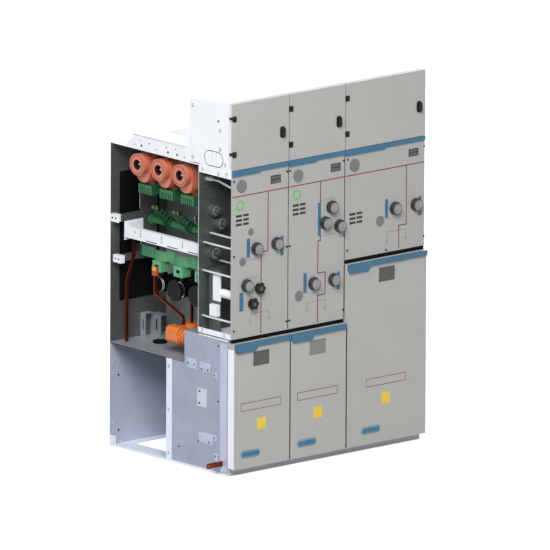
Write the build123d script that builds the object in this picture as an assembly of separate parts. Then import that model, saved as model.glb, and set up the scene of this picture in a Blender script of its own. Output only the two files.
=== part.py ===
from build123d import *
import os
from math import cos, radians, sin, sqrt

# Gas-insulated switchgear line-up of three bays. The first bay's left side is open, so its switch,
# its bushings and its drive show. X runs right from the left side, Y runs back from the plinth's front
# and Z runs up from the floor. At the end the model moves so that its origin is its bottom centre.

# Line-up
BAYS = (420, 420, 600)
DEPTH = 1005
DECK_Z = 600
SHELF_Z = 780
SHELF_Y = 362
TANK_TOP = 1750
TANK_FRONT = 249
DRIVE_FLOOR_Z = 793
DRIVE_ROOF_STEP = 8
DRIVE_FRONT = -22
LV_DEPTH = 335
LV_HEIGHT = 382
LV_FALL = 28

# Sheet and running gaps
SHEET = 2.5
TANK_WALL = 4
FRAME = 3
BAY_GAP = 4
RUN = 6
PIN_FIT = 0.05

# Plinth and cable box
PLINTH_H = 45
RAIL_H = 15
SIDE_FLANGE = 137
INNER_FLANGE = 45
REAR_FLANGE = 68
FRONT_FLANGE = 60
ANCHOR_R = 7
ANCHOR_IN = 30
POST_Y = 472
POST_W = 48
POST_FOLD = 25
EARTH_Y = 36
EARTH_Z = 55
EARTH_BAR = (6, 30)
EARTH_REACH = 115
EARTH_HOLE_R = 5.5
EARTH_SLOT = 6

# Cable doors and panels
DOOR_FACE = -54
PANEL_FACE = -30
PANEL_Z = (791, 791, 1126)
STRIP_H = 26
HEADER_Z = 738
HEADER_TOP = 768
HEADER_GRIP = 150
HEADER_GRIP_DROP = 25
HEADER_PROUD = 9
STRIP_PROUD = 6
STRIP_DROP = 9
WINDOW_CENTRE = ((205, 665), (205, 665), (300, 1010))
WINDOW_SIZE = (120, 84)
WINDOW_PANE = 4
WINDOW_LAP = 8
GAUGE_R = 35
GAUGE_X = 71
GAUGE_DROP = 86
GAUGE_PROUD = 6
SOCKET_R = 32
SOCKET_LONG = 30
SOCKET_RIM = 4
SOCKETS = (((181, 1290), (331, 1298), (109, 1089)),
           ((320, 1448), (271, 1364), (378, 1331), (187, 1028), (337, 1029)),
           ((373, 1372), (530, 1371)))
KNOB_R = 34
KNOB_LONG = 26
KNOB_LOBES = 6
KNOBS = (((200, 1062), (151, 980)), (), ())

# Low-voltage boxes
LV_FACE = -36
LV_DOOR_DEPTH = 17
LV_LIP = 14
LV_LIP_IN = 20
HINGE_Z = (92, 296)
HINGE_IN = 6
HINGE_R = 6
HINGE_PIN_R = 2.5
HINGE_H = 32
KNUCKLE_H = 12
LEAF_W = 24
LEAF_T = 2
HANDLE_IN = 52
HANDLE_UP = 174
HANDLE_PLATE = (34, 66, 3)
HANDLE_GRIP = (22, 52, 14)
SPINDLE_R = 5
CAM = (12, 26, 3)

# Tank of the first bay
PHASE_REAR = 226
PHASE_PITCH = 181
BUSHING_Z = 1657
BUSHING_R = 62
BUSHING_DROP = 47
BUSHING_BORE_R = 30
BUSHING_BORE_DEEP = 24
BUSHING_PIN_R = 9
BUSHING_COLLAR = 26
BUSHING_NECK_R = 50
BUSHING_LONG = 120
SHED_AT = (43, 66, 84)
SHED_T = 12
SHED_STEP = 3
FACE_GROOVE = (50, 54)
COMB_X = (60, 170)
COMB_DROP = 26
COMB_H = 54
COMB_W = 110
COMB_SLOTS = 5
COMB_SLOT_W = 9
FOOT = (24, 50)
SHAFT_X = 258
SHAFT_Z = 1280
SHAFT_R = 20
SHAFT_DISC_R = 32
SHAFT_DISC_T = 12
SHAFT_IN = 62
JOURNAL_R = 12
BLADE_LONG = 172
BLADE_REST = 46
BLADE_ROOT_R = 28
BLADE_TIP_R = 13
BLADE_T = 8
BLADE_RIM = 6
BLADE_POCKETS = ((36, 60), (66, 90), (96, 120), (126, 146))
BLADE_GAP = 20
CONTACT_T = 8
CONTACT_LAP = 22
TIP_T = 5
BEAM_X = 57
BEAM_Z = (1205, 1270)
BEAM_FLANGE = 30
BEAM_END_Z = (1187, 1294)
BEAM_LAP = 14
FRAME_PLATE_X = (181, 300)
FRAME_PLATE_Z = (1060, 1560)
FRAME_JOG = (8, 10)
FRAME_JOG_LOW = (1331, 1350)
FRAME_JOG_TOP = (1440, 1475)
FRAME_TIE_Z = (1100, 1140)
LUG_Z = ((1295, 1339), (1064, 1107))
LUG_IN = (4, 24)
LUG_LONG = 66
LUG_T = 30
BRACKET = (300, 720)
BRACKET_LONG = 86
BRACKET_SLOT = (41, 56)
BRACKET_FLANGE = 60
REAR_BRACKET = (224, 735)
REAR_BRACKET_LONG = 41
REAR_BRACKET_SLOT = (16, 26)
COVER_X = 188
COVER_H = 59
COVER_T = 4
COVER_WAVE = 24
COVER_SWELL = 0.72
COVER_STEPS = 12
POLE_X = (150, 214)
POLE_W = 72
POLE_Z = (1020, 1081)
POLE_WINDOW = (32, 16)
POLE_WINDOW_UP = 20
POLE_WINDOW_DEEP = 10
ARM_W = 40
BREAK_Z = 945
BREAK_R = 48
BREAK_X = 180
DISC_X = 122
DISC_R = 60
DISC_T = 12
BELLOWS_R = (30, 40)
BELLOWS = 4
BAR_W = 20
BAR_T = 8
BAR_BEND = 16
CAP_Z = (1000, 1052)
BAR_RISE = (45, 90)
BAR_OVER = 15
BAR_TOP = 30
FLOOR_BAR_X = (72, 121)
FLOOR_BAR_Z = (945, 1091)
CAP_W = 36
CABLE_X = (95, 210, 325)
CABLE_Z = 710
CABLE_BLOCK_LONG = 100
CABLE_BLOCK_BACK = 71
CABLE_BLOCK = (84, 98)
CABLE_FIN_R = 47
CABLE_FINS = 4
CABLE_NECK_R = 32
CABLE_CONE_R = 22
CABLE_CONE_END = 300
BARRIER_X = (65, 355)
BARRIER_Z = (828, 1571)
BARRIER_T = 6

# Drive behind the first panel
BOSSES = ((102, 1475, 35), (149, 1394, 40), (102, 1232, 40))
BOSS_LONG = 30
DRIVE_SHAFT_R = 11
DRIVE_ROD_R = 6
DRIVE_RODS = ((40, 1300), (90, 1345), (150, 1180), (35, 1140), (35, 880))
DRIVE_TOP_FLANGE = 47
DRIVE_LOW_FLANGE = 27
UNIT_X = (60, 300)
UNIT_Z = 1153
UNIT_Y = (131, 228)
UNIT_T = 5
COIL_R = 25
COIL_Z = 1023
COIL_LONG = 75
COIL_BLOCK_T = 12
COIL_BLOCK_Y = (125, 182)
COIL_BLOCK_Z = (978, 1124)
LOW_BLOCK_Y = (134, 196)
LOW_BLOCK_Z = (890, 955)
PIPE_R = 6
VALVE_R = 14
VALVE_X = 60
DUCT_GAP = 5
DUCT_IN = 125
DUCT_H = 73
DUCT_FOOT = 40

WIDTH = sum(BAYS)
STARTS = tuple(sum(BAYS[:i]) for i in range(len(BAYS)))
DRIVE_ROOF_Z = TANK_TOP + DRIVE_ROOF_STEP
LV_Z = DRIVE_ROOF_Z
PANEL_TOP = DRIVE_ROOF_Z - STRIP_H
GAUGE_AT = (GAUGE_X, TANK_TOP - GAUGE_DROP)
VALVE_AT = (VALVE_X, TANK_TOP - GAUGE_DROP)
COVER_Z = (POLE_Z[1], POLE_Z[1] + COVER_H)
TANK_REAR = DEPTH - TANK_WALL
PHASES = tuple(DEPTH - PHASE_REAR - k * PHASE_PITCH for k in (2, 1, 0))
SHAFT_END = DEPTH - SHAFT_IN
COMB_TOP = BUSHING_Z - BUSHING_DROP - BUSHING_NECK_R - COMB_DROP
COMB_Z = (COMB_TOP - COMB_H, COMB_TOP)
LUG_Y = tuple((DEPTH - LUG_LONG - gap, DEPTH - gap) for gap in LUG_IN)
CABLE_BLOCK_Y = (PHASES[0] + CABLE_BLOCK_BACK, PHASES[0] + CABLE_BLOCK_BACK + CABLE_BLOCK_LONG)


def block(x, y, z):
    """Box given by its two limits on each axis."""
    centre = [(low + high) / 2 for low, high in (x, y, z)]
    return Pos(*centre) * Box(x[1] - x[0], y[1] - y[0], z[1] - z[0])


def rod_x(radius, x, y, z):
    return Pos((x[0] + x[1]) / 2, y, z) * Rot(0, 90, 0) * Cylinder(radius, x[1] - x[0])


def rod_y(radius, x, y, z):
    return Pos(x, (y[0] + y[1]) / 2, z) * Rot(90, 0, 0) * Cylinder(radius, y[1] - y[0])


def rod_z(radius, x, y, z):
    return Pos(x, y, (z[0] + z[1]) / 2) * Cylinder(radius, z[1] - z[0])


def prism_x(points, x):
    """Solid with an outline of (y, z) points, from x[0] to x[1]."""
    outline = make_face(Polyline(*[(x[0], y, z) for y, z in points], close=True))
    return extrude(outline, amount=x[1] - x[0], dir=(1, 0, 0))


def prism_y(points, y):
    """Solid with an outline of (x, z) points, from y[0] to y[1]."""
    outline = make_face(Polyline(*[(x, y[0], z) for x, z in points], close=True))
    return extrude(outline, amount=y[1] - y[0], dir=(0, 1, 0))


def obround_x(radius, drop, x, y, z):
    """Upright obround along X: its upper centre is at z and its lower one is drop below."""
    upper = rod_x(radius, x, y, z)
    lower = rod_x(radius, x, y, z - drop)
    return upper + lower + block(x, (y - radius, y + radius), (z - drop, z))


def bay(i, gap=0):
    """X limits of a bay, less a gap at each side."""
    return STARTS[i] + gap, STARTS[i] + BAYS[i] - gap


def side_outline(front_low, low, back):
    """Outline of a wall of the cable box in Y and Z, with the step under the tank."""
    foot = [(FRONT_FLANGE, front_low), (FRONT_FLANGE, low)] if front_low > low else []
    return [(0, front_low), *foot, (back, low), (back, DECK_Z - TANK_WALL), (SHELF_Y, DECK_Z - TANK_WALL),
            (SHELF_Y, SHELF_Z - TANK_WALL), (0, SHELF_Z - TANK_WALL)]


def base_frame():
    """Floor ring with a plinth rail in front and the side post that carries the tank."""
    frame = block((0, WIDTH), (0, DEPTH), (0, FRAME))
    for i in range(len(BAYS)):
        left, right = bay(i, INNER_FLANGE)
        left = SIDE_FLANGE if i == 0 else left
        right = WIDTH - SIDE_FLANGE if i == len(BAYS) - 1 else right
        frame -= block((left, right), (FRONT_FLANGE, DEPTH - REAR_FLANGE), (-1, FRAME + 1))
    across = (FRAME, WIDTH - FRAME)
    frame += block(across, (0, FRAME), (0, PLINTH_H))
    frame += block(across, (0, FRONT_FLANGE), (PLINTH_H - FRAME, PLINTH_H))
    for x in (0, WIDTH - FRAME):
        frame += block((x, x + FRAME), (0, DEPTH - SHEET), (0, RAIL_H))
    post = block((0, FRAME), (POST_Y, POST_Y + POST_W), (0, DECK_Z - TANK_WALL))
    post += block((0, POST_FOLD), (POST_Y, POST_Y + FRAME), (0, DECK_Z - TANK_WALL))
    frame += post
    for x in (ANCHOR_IN, WIDTH - ANCHOR_IN):
        for y in (ANCHOR_IN, DEPTH - ANCHOR_IN):
            frame -= rod_z(ANCHOR_R, x, y, (-1, PLINTH_H + 1))
    return frame


def side_panel():
    """Zinc side panel of the cable box, folded in along its front edge."""
    panel = prism_x(side_outline(RAIL_H, RAIL_H, POST_Y), (0, SHEET))
    panel += block((0, POST_FOLD), (0, SHEET), (PLINTH_H, SHELF_Z - TANK_WALL))
    return panel - block((-1, POST_FOLD + 1), (EARTH_Y - EARTH_SLOT, EARTH_Y + EARTH_BAR[0] + EARTH_SLOT),
                         (EARTH_Z - EARTH_SLOT, EARTH_Z + EARTH_BAR[1] + EARTH_SLOT))


def cable_rear_wall():
    return block((0, WIDTH), (DEPTH - SHEET, DEPTH), (FRAME, DECK_Z - TANK_WALL))


def bay_walls():
    """Walls between the bays and at the right side, below and in front of the tanks."""
    walls = []
    top = DRIVE_ROOF_Z - SHEET
    for x, low in ((STARTS[1], DRIVE_FLOOR_Z), (STARTS[2], SHELF_Z), (WIDTH, SHELF_Z)):
        right = x if x == WIDTH else x + SHEET / 2
        ends = (RAIL_H, RAIL_H) if x == WIDTH else (PLINTH_H, FRAME)
        wall = prism_x(side_outline(*ends, DEPTH - SHEET), (right - SHEET, right))
        if x != WIDTH:
            wall -= block((x - FRAME, x + FRAME),
                          (EARTH_Y - EARTH_SLOT, EARTH_Y + EARTH_BAR[0] + EARTH_SLOT),
                          (EARTH_Z - EARTH_SLOT, EARTH_Z + EARTH_BAR[1] + EARTH_SLOT))
        right = x if x == STARTS[2] else right
        walls += [wall, block((right - SHEET, right), (DRIVE_FRONT, TANK_FRONT), (low, top))]
    return Compound(walls)


def earth_bar():
    """Copper bar through all bays, with a hole at the free end."""
    t, h = EARTH_BAR
    bar = block((-EARTH_REACH, WIDTH - SHEET), (EARTH_Y, EARTH_Y + t), (EARTH_Z, EARTH_Z + h))
    return bar - rod_y(EARTH_HOLE_R, -EARTH_REACH + h / 2, (EARTH_Y - 1, EARTH_Y + t + 1), EARTH_Z + h / 2)


def tank_floor():
    """Stepped floor of the first tank, with holes for the cable bushings."""
    left, right = bay(0)
    t = TANK_WALL
    floor = block((left, right), (SHELF_Y, DEPTH), (DECK_Z - t, DECK_Z))
    floor += block((left, right), (SHELF_Y, SHELF_Y + t), (DECK_Z - t, SHELF_Z))
    floor += block((left, right), (TANK_FRONT, SHELF_Y + t), (SHELF_Z - t, SHELF_Z))
    for x in CABLE_X:
        floor -= rod_y(CABLE_NECK_R, x, (SHELF_Y - 1, SHELF_Y + t + 1), CABLE_Z)
    return floor


def tank_rear_wall():
    return block(bay(0), (TANK_REAR, DEPTH), (DECK_Z, TANK_TOP - TANK_WALL))


def tank_front_wall():
    """Front wall of the first tank, with a bearing hole for the switch shaft and bosses for the drives."""
    left, right = bay(0)
    wall = block((left, right), (TANK_FRONT, TANK_FRONT + TANK_WALL), (SHELF_Z, TANK_TOP - TANK_WALL))
    for x, z, r in BOSSES:
        wall += rod_y(r, x, (TANK_FRONT - BOSS_LONG, TANK_FRONT), z)
        wall += rod_y(DRIVE_SHAFT_R, x, (TANK_FRONT - 2 * BOSS_LONG, TANK_FRONT), z)
    return wall - rod_y(JOURNAL_R + PIN_FIT, SHAFT_X, (TANK_FRONT - 1, TANK_FRONT + TANK_WALL + 1), SHAFT_Z)


def tank_roof():
    return block(bay(0), (TANK_FRONT, DEPTH), (TANK_TOP - TANK_WALL, TANK_TOP))


def tank_bay_wall():
    """Wall between the first tank and the second."""
    right = STARTS[1]
    return block((right - TANK_WALL, right), (TANK_FRONT + TANK_WALL, TANK_REAR),
                 (DECK_Z + 0, TANK_TOP - TANK_WALL)) - block(
        (right - TANK_WALL - 1, right + 1), (TANK_FRONT, SHELF_Y + TANK_WALL), (DECK_Z - 1, SHELF_Z))


def rear_barrier():
    return block(BARRIER_X, (TANK_REAR - BARRIER_T, TANK_REAR), BARRIER_Z)


def closed_tanks():
    """Welded tanks of the other bays."""
    tanks = []
    t = TANK_WALL
    for i in (1, 2):
        outline = [(TANK_FRONT, SHELF_Z - t), (SHELF_Y, SHELF_Z - t), (SHELF_Y, DECK_Z - t),
                   (DEPTH, DECK_Z - t), (DEPTH, TANK_TOP), (TANK_FRONT, TANK_TOP)]
        tanks.append(prism_x(outline, bay(i, BAY_GAP / 2)))
    return Compound(tanks)


def roof_duct():
    """Angle on the tank roof, cut off at a slant behind."""
    front, rear = LV_DEPTH + DUCT_GAP, DEPTH - DUCT_IN
    web = prism_x([(front, TANK_TOP), (rear, TANK_TOP), (rear - DUCT_H, TANK_TOP + DUCT_H),
                   (front, TANK_TOP + DUCT_H)], (0, SHEET))
    return web + block((0, DUCT_FOOT), (front, rear), (TANK_TOP, TANK_TOP + SHEET))


def busbar_bushings():
    """Cast resin bushings with sheds, each with a socket round a contact pin."""
    bushings = []
    for y in PHASES:
        body = obround_x(BUSHING_NECK_R, BUSHING_DROP, (SHED_AT[0], BUSHING_LONG), y, BUSHING_Z)
        body += rod_x(BUSHING_NECK_R, (0, SHED_AT[0]), y, BUSHING_Z)
        body += rod_x(BUSHING_R, (0, BUSHING_COLLAR), y, BUSHING_Z)
        for x in SHED_AT:
            body += obround_x(BUSHING_R - SHED_STEP, BUSHING_DROP, (x, x + SHED_T), y, BUSHING_Z)
            body += obround_x(BUSHING_R, BUSHING_DROP, (x + SHED_STEP, x + SHED_T - SHED_STEP), y, BUSHING_Z)
        lowest = BUSHING_Z - BUSHING_DROP - BUSHING_NECK_R
        foot = block((BUSHING_LONG - FOOT[0], BUSHING_LONG), (y - FOOT[1] / 2, y + FOOT[1] / 2),
                     (COMB_Z[1], lowest + FOOT[0]))
        body += foot
        body += block((BUSHING_LONG - FOOT[0], BUSHING_LONG), (y - FOOT[1] / 2, y + FOOT[1] / 2),
                      (BUSHING_Z, TANK_TOP - TANK_WALL))
        socket = rod_x(BUSHING_BORE_R, (-1, BUSHING_BORE_DEEP), y, BUSHING_Z)
        inner = rod_x(BUSHING_BORE_R - 8, (-1, 2 * BUSHING_BORE_DEEP), y, BUSHING_Z)
        pin = rod_x(BUSHING_PIN_R, (BUSHING_BORE_DEEP + 2, 3 * BUSHING_BORE_DEEP), y, BUSHING_Z)
        groove = rod_x(FACE_GROOVE[1], (-1, SHED_STEP), y, BUSHING_Z)
        groove -= rod_x(FACE_GROOVE[0], (-2, 2 * SHED_STEP), y, BUSHING_Z)
        bushings.append(body - socket - inner - groove + pin)
    return Compound(bushings)


def contact_blocks():
    """Slotted insulating blocks under the bushings."""
    blocks = []
    for y in PHASES:
        comb = block(COMB_X, (y - COMB_W / 2, y + COMB_W / 2), COMB_Z)
        pitch = COMB_W / (COMB_SLOTS + 1)
        for k in range(1, COMB_SLOTS + 1):
            middle = y - COMB_W / 2 + k * pitch
            comb -= block((COMB_X[0] - 1, COMB_X[1] + 1), (middle - COMB_SLOT_W / 2, middle + COMB_SLOT_W / 2),
                          (COMB_Z[0] - 1, COMB_Z[1] - 18))
        blocks.append(comb)
    return Compound(blocks)


def fixed_contacts():
    """Bent plates that the knives close on."""
    low = SHAFT_Z + BLADE_LONG - CONTACT_LAP
    half = BLADE_TIP_R
    plates = []
    for y in PHASES:
        outline = [(COMB_X[1], COMB_Z[1]), (COMB_X[1], COMB_Z[0] + 12), (SHAFT_X - half, COMB_Z[0] + 12),
                   (SHAFT_X - half, low), (SHAFT_X + half, low), (SHAFT_X + half, COMB_Z[1])]
        plates.append(prism_y(outline, (y - CONTACT_T / 2, y + CONTACT_T / 2)))
    return Compound(plates)


def blade_sides():
    """Y limits of the blades of all the knives."""
    inner = BLADE_GAP / 2
    return [(y + s * (inner + BLADE_T / 2) - BLADE_T / 2, y + s * (inner + BLADE_T / 2) + BLADE_T / 2)
            for y in PHASES for s in (-1, 1)]


def at_blade(distance):
    """Point on the middle line of the resting blades, in X and Z."""
    turn = radians(BLADE_REST)
    return SHAFT_X - distance * sin(turn), SHAFT_Z + distance * cos(turn)


def switch_shaft():
    """Insulating shaft with journals, an end disc and the blades' arms."""
    front = TANK_FRONT
    rear = SHAFT_END
    shaft = rod_y(SHAFT_R, SHAFT_X, (front + TANK_WALL + RUN, rear), SHAFT_Z)
    shaft += rod_y(JOURNAL_R, SHAFT_X, (front - TANK_WALL, rear + 4 * TANK_WALL), SHAFT_Z)
    shaft += rod_y(SHAFT_DISC_R, SHAFT_X, (rear - SHAFT_DISC_T, rear), SHAFT_Z)
    return shaft


def knife_outline():
    """Tapered arm with round ends, in X and Z."""
    root, tip = at_blade(0), at_blade(BLADE_LONG - BLADE_TIP_R)
    turn = radians(BLADE_REST)
    across = (cos(turn), sin(turn))
    corners = [(root[0] + across[0] * BLADE_ROOT_R, root[1] + across[1] * BLADE_ROOT_R),
               (tip[0] + across[0] * BLADE_TIP_R, tip[1] + across[1] * BLADE_TIP_R),
               (tip[0] - across[0] * BLADE_TIP_R, tip[1] - across[1] * BLADE_TIP_R),
               (root[0] - across[0] * BLADE_ROOT_R, root[1] - across[1] * BLADE_ROOT_R)]
    return corners, root, tip


def knife_pocket(near, far):
    """Opening between two ribs of a knife, narrowing with it, in X and Z."""
    turn = radians(BLADE_REST)
    corners = []
    for distance, side in ((near, 1), (far, 1), (far, -1), (near, -1)):
        x, z = at_blade(distance)
        half = BLADE_ROOT_R + (BLADE_TIP_R - BLADE_ROOT_R) * distance / BLADE_LONG - BLADE_RIM
        corners.append((x + cos(turn) * half * side, z + sin(turn) * half * side))
    return corners


def switch_knives():
    """Pairs of arms, a pair to a phase, round the shaft."""
    corners, root, tip = knife_outline()
    knives = []
    for y in blade_sides():
        arm = prism_y(corners, y) + rod_y(BLADE_ROOT_R, root[0], y, root[1])
        arm += rod_y(BLADE_TIP_R, tip[0], y, tip[1])
        for near, far in BLADE_POCKETS:
            arm -= prism_y(knife_pocket(near, far), (y[0] - 1, y[1] + 1))
        knives.append(arm - rod_y(SHAFT_R, SHAFT_X, (y[0] - 1, y[1] + 1), SHAFT_Z))
    return Compound(knives)


def knife_tips():
    """Contact pads on the outer faces of the arms."""
    tip = at_blade(BLADE_LONG - BLADE_TIP_R)
    pads = []
    for k, (low, high) in enumerate(blade_sides()):
        y = (low - TIP_T, low) if k % 2 == 0 else (high, high + TIP_T)
        pads.append(rod_y(BLADE_TIP_R, tip[0], y, tip[1]))
    return Compound(pads)


def cross_beam():
    """Channel in front of the switch, with a taller end plate."""
    rear = SHAFT_END + 8
    beam = block((BEAM_X, BEAM_X + FRAME), (TANK_FRONT + TANK_WALL, rear), BEAM_Z)
    for z in ((BEAM_Z[0], BEAM_Z[0] + FRAME), (BEAM_Z[1] - FRAME, BEAM_Z[1])):
        beam += block((BEAM_X, BEAM_X + BEAM_FLANGE), (TANK_FRONT + TANK_WALL, rear), z)
    return beam + block((BEAM_X, FRAME_PLATE_X[0] + BEAM_LAP), (rear - FRAME, rear), BEAM_END_Z)


def switch_frame():
    """Notched plate that carries the shaft's rear end, with its tie bars."""
    y = (SHAFT_END + 8, SHAFT_END + 8 + TANK_WALL)
    left, right = FRAME_PLATE_X
    low, high = FRAME_PLATE_Z
    out, back = FRAME_JOG
    steps = FRAME_JOG_LOW + FRAME_JOG_TOP
    outline = [(left, low), (left, steps[0]), (left - out, steps[1]), (left - out, steps[2]),
               (left + back, steps[3]), (left + back, high), (right, high), (right, low)]
    plate = prism_y(outline, y)
    plate -= rod_y(JOURNAL_R + PIN_FIT, SHAFT_X, (y[0] - 1, y[1] + 1), SHAFT_Z)
    for z in LUG_Z:
        plate += block((LUG_T, left), y, z)
    plate += block((left, left + 4 * FRAME), (y[0], TANK_REAR - BARRIER_T), FRAME_TIE_Z)
    return plate


def rear_lugs():
    """Blocks that end the tie bars at the open side."""
    rear = SHAFT_END + 8 + TANK_WALL
    lugs = []
    for y, z in zip(LUG_Y, LUG_Z):
        lug = block((0, LUG_T), y, z)
        lugs.append(lug)
    lugs[0] = lugs[0] - block((FRAME, LUG_T + 1), (0, rear - TANK_WALL), (0, TANK_TOP))
    return Compound(lugs)


def insulating_cover():
    """Wavy strip that swells round each pole."""
    half = PHASE_PITCH / 2
    front = TANK_FRONT + TANK_WALL
    points = [(COVER_X, front)]
    for y in PHASES:
        for k in range(COVER_STEPS + 1):
            t = 2 * k / COVER_STEPS - 1
            points.append((COVER_X - COVER_WAVE * sqrt(1 - t * t), y + half * COVER_SWELL * t))
    points += [(COVER_X, SHAFT_END + 8)]
    back = [(x + COVER_T, y) for x, y in reversed(points)]
    outline = make_face(Polyline(*[(x, y, COVER_Z[0]) for x, y in points + back], close=True))
    return extrude(outline, amount=COVER_Z[1] - COVER_Z[0], dir=(0, 0, 1))


def pole_heads():
    """Insulating heads of the poles, each with a window."""
    heads = []
    wide, high = POLE_WINDOW
    sill = POLE_Z[0] + POLE_WINDOW_UP
    for y in PHASES:
        head = block(POLE_X, (y - POLE_W / 2, y + POLE_W / 2), POLE_Z)
        head -= block((POLE_X[0] - 1, POLE_X[0] + POLE_WINDOW_DEEP), (y - wide / 2, y + wide / 2),
                      (sill, sill + high))
        heads.append(head)
    return Compound(heads)


def interrupters():
    """Breaking chambers with bellows, fixed to the wall between the bays."""
    chambers = []
    wall = STARTS[1] - TANK_WALL
    for y in PHASES:
        chamber = rod_x(BREAK_R, (BREAK_X, wall), y, BREAK_Z)
        nose = DISC_X + DISC_T if y < PHASES[2] else POLE_X[0] + RUN
        chamber += rod_x(BELLOWS_R[0], (nose, BREAK_X), y, BREAK_Z)
        pitch = (BREAK_X - nose) / BELLOWS
        for k in range(BELLOWS):
            x = nose + k * pitch
            chamber += rod_x(BELLOWS_R[1], (x + pitch / 3, x + pitch * 2 / 3), y, BREAK_Z)
        chamber += block((BREAK_X, POLE_X[1]), (y - ARM_W / 2, y + ARM_W / 2), (BREAK_Z, POLE_Z[0]))
        if y < PHASES[2]:
            chamber += rod_x(DISC_R, (DISC_X, DISC_X + DISC_T), y, BREAK_Z)
        chambers.append(chamber)
    return Compound(chambers)


def bent_bar(points):
    """Flat bar along straight runs, rounded at its bends, with its width across the plane of the runs."""
    path = FilletPolyline(*points, radius=BAR_BEND)
    across = Vector(1, 0, 0)
    return sweep(Plane(path @ 0, x_dir=across, z_dir=path % 0) * Rectangle(BAR_W, BAR_T), path)


def copper_bars():
    """Flat bars from the poles to the cable bushings, and one down to the floor."""
    rear = SHAFT_END + 8 - FRAME - BAR_T / 2
    top = CABLE_Z + CABLE_BLOCK[1] / 2
    pole = POLE_X[0] - BAR_W / 2
    near = PHASES[0] + BREAK_R + BAR_T / 2
    middle = PHASES[1] - BREAK_R - BAR_T / 2
    land = CABLE_BLOCK_Y[0] + BAR_W
    low, high = (top + rise for rise in BAR_RISE)
    over = BREAK_Z + BAR_OVER
    to_floor = prism_y(strip_outline([(FLOOR_BAR_X[0], DECK_Z), (FLOOR_BAR_X[0], FLOOR_BAR_Z[0]),
                                       (FLOOR_BAR_X[1], FLOOR_BAR_Z[1]), (FLOOR_BAR_X[1], BEAM_END_Z[0] + BAR_TOP)]),
                       (rear - BAR_T / 2, rear + BAR_T / 2))
    far = bent_bar([(pole, PHASES[2], CAP_Z[0]), (pole, PHASES[2], BREAK_Z - BREAK_R),
                    (pole, land + 1.5 * BAR_W, low), (pole, land + 1.5 * BAR_W, top)])
    centre = block((CABLE_X[1] - BAR_W / 2, CABLE_X[1] + BAR_W / 2), (middle - BAR_T / 2, middle + BAR_T / 2),
                   (top, over))
    front = bent_bar([(CABLE_X[2], near, over), (CABLE_X[2], near, high),
                      (CABLE_X[2], land, low), (CABLE_X[2], land, top)])
    return Compound([to_floor, far, centre, front])


def strip_outline(points):
    """Outline of an upright strip through (x, z) points."""
    half = BAR_W / 2
    return [(x - half, z) for x, z in points] + [(x + half, z) for x, z in reversed(points)]


def pole_cap():
    """Connection block on the rear pole."""
    y = PHASES[2]
    return block((POLE_X[0] - BAR_W, POLE_X[0]), (y - CAP_W / 2, y + CAP_W / 2), CAP_Z)


def cable_bushings():
    """Resin bushings from the tank to the cable box."""
    bushings = []
    t = TANK_WALL
    wall = SHELF_Y + t
    w, h = CABLE_BLOCK
    for x in CABLE_X:
        y0, y1 = CABLE_BLOCK_Y
        body = block((x - w / 2, x + w / 2), (y0, y1), (CABLE_Z - h / 2, CABLE_Z + h / 2))
        body = fillet(body.edges().filter_by(Axis.Y), w / 3)
        body += rod_y(CABLE_NECK_R, x, (SHELF_Y, y0), CABLE_Z)
        pitch = (y0 - wall) / (CABLE_FINS + 1)
        for k in range(1, CABLE_FINS + 1):
            body += rod_y(CABLE_FIN_R, x, (wall + k * pitch, wall + (k + 0.5) * pitch), CABLE_Z)
        body += rod_y(CABLE_NECK_R + 12, x, (wall, wall + 8), CABLE_Z)
        body += rod_y(CABLE_CONE_R, x, (CABLE_CONE_END, SHELF_Y), CABLE_Z)
        bushings.append(body)
    return Compound(bushings)


def floor_bracket():
    """Slotted bracket on the tank's floor."""
    brackets = []
    for (x, top), reach, slot, end in ((BRACKET, BRACKET_LONG, BRACKET_SLOT, (30, 25)),
                                       (REAR_BRACKET, REAR_BRACKET_LONG, REAR_BRACKET_SLOT, (40, 35))):
        y = (TANK_REAR - reach, TANK_REAR)
        plate = block((x, x + FRAME), y, (DECK_Z, top))
        plate -= block((x - 1, x + FRAME + 1), (TANK_REAR - slot[1], TANK_REAR - slot[0]),
                       (DECK_Z + end[0], top - end[1]))
        brackets.append(plate + block((x, x + BRACKET_FLANGE), y, (top - FRAME, top)))
    return Compound(brackets)


def mechanism_floor():
    """Cover of the cable boxes and, above it, the drives' floor, turned up on the open side."""
    cover = block((0, WIDTH), (0, TANK_FRONT), (SHELF_Z - TANK_WALL, SHELF_Z))
    floor = block((0, STARTS[2] - SHEET), (DRIVE_FRONT, TANK_FRONT), (DRIVE_FLOOR_Z - SHEET, DRIVE_FLOOR_Z))
    floor += block((0, SHEET), (DRIVE_FRONT, TANK_FRONT), (DRIVE_FLOOR_Z, DRIVE_FLOOR_Z + DRIVE_LOW_FLANGE))
    return Compound([cover, floor])


def mechanism_roof():
    """Folded roof over the drives, with a turned-down edge on the open side."""
    roof = block((0, WIDTH), (DRIVE_FRONT, TANK_FRONT), (DRIVE_ROOF_Z - SHEET, DRIVE_ROOF_Z))
    low = DRIVE_ROOF_Z - SHEET - DRIVE_TOP_FLANGE
    return roof + block((0, SHEET), (DRIVE_FRONT, TANK_FRONT), (low, DRIVE_ROOF_Z - SHEET))


def drive_rods():
    """Spacer rods between the tank and the panel."""
    rods = [rod_y(DRIVE_ROD_R, x, (PANEL_FACE + SHEET, TANK_FRONT), z) for x, z in DRIVE_RODS]
    return Compound(rods)


def drive_unit():
    """Steel plates of the lower drive: one at each side and one behind."""
    plates = block((UNIT_X[0], UNIT_X[0] + UNIT_T), UNIT_Y, (DRIVE_FLOOR_Z, UNIT_Z))
    plates += block((UNIT_X[1], UNIT_X[1] + UNIT_T), UNIT_Y, (DRIVE_FLOOR_Z, UNIT_Z))
    return plates + block((UNIT_X[0], UNIT_X[1]), (UNIT_Y[1] - UNIT_T, UNIT_Y[1]), (DRIVE_FLOOR_Z, UNIT_Z))


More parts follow.
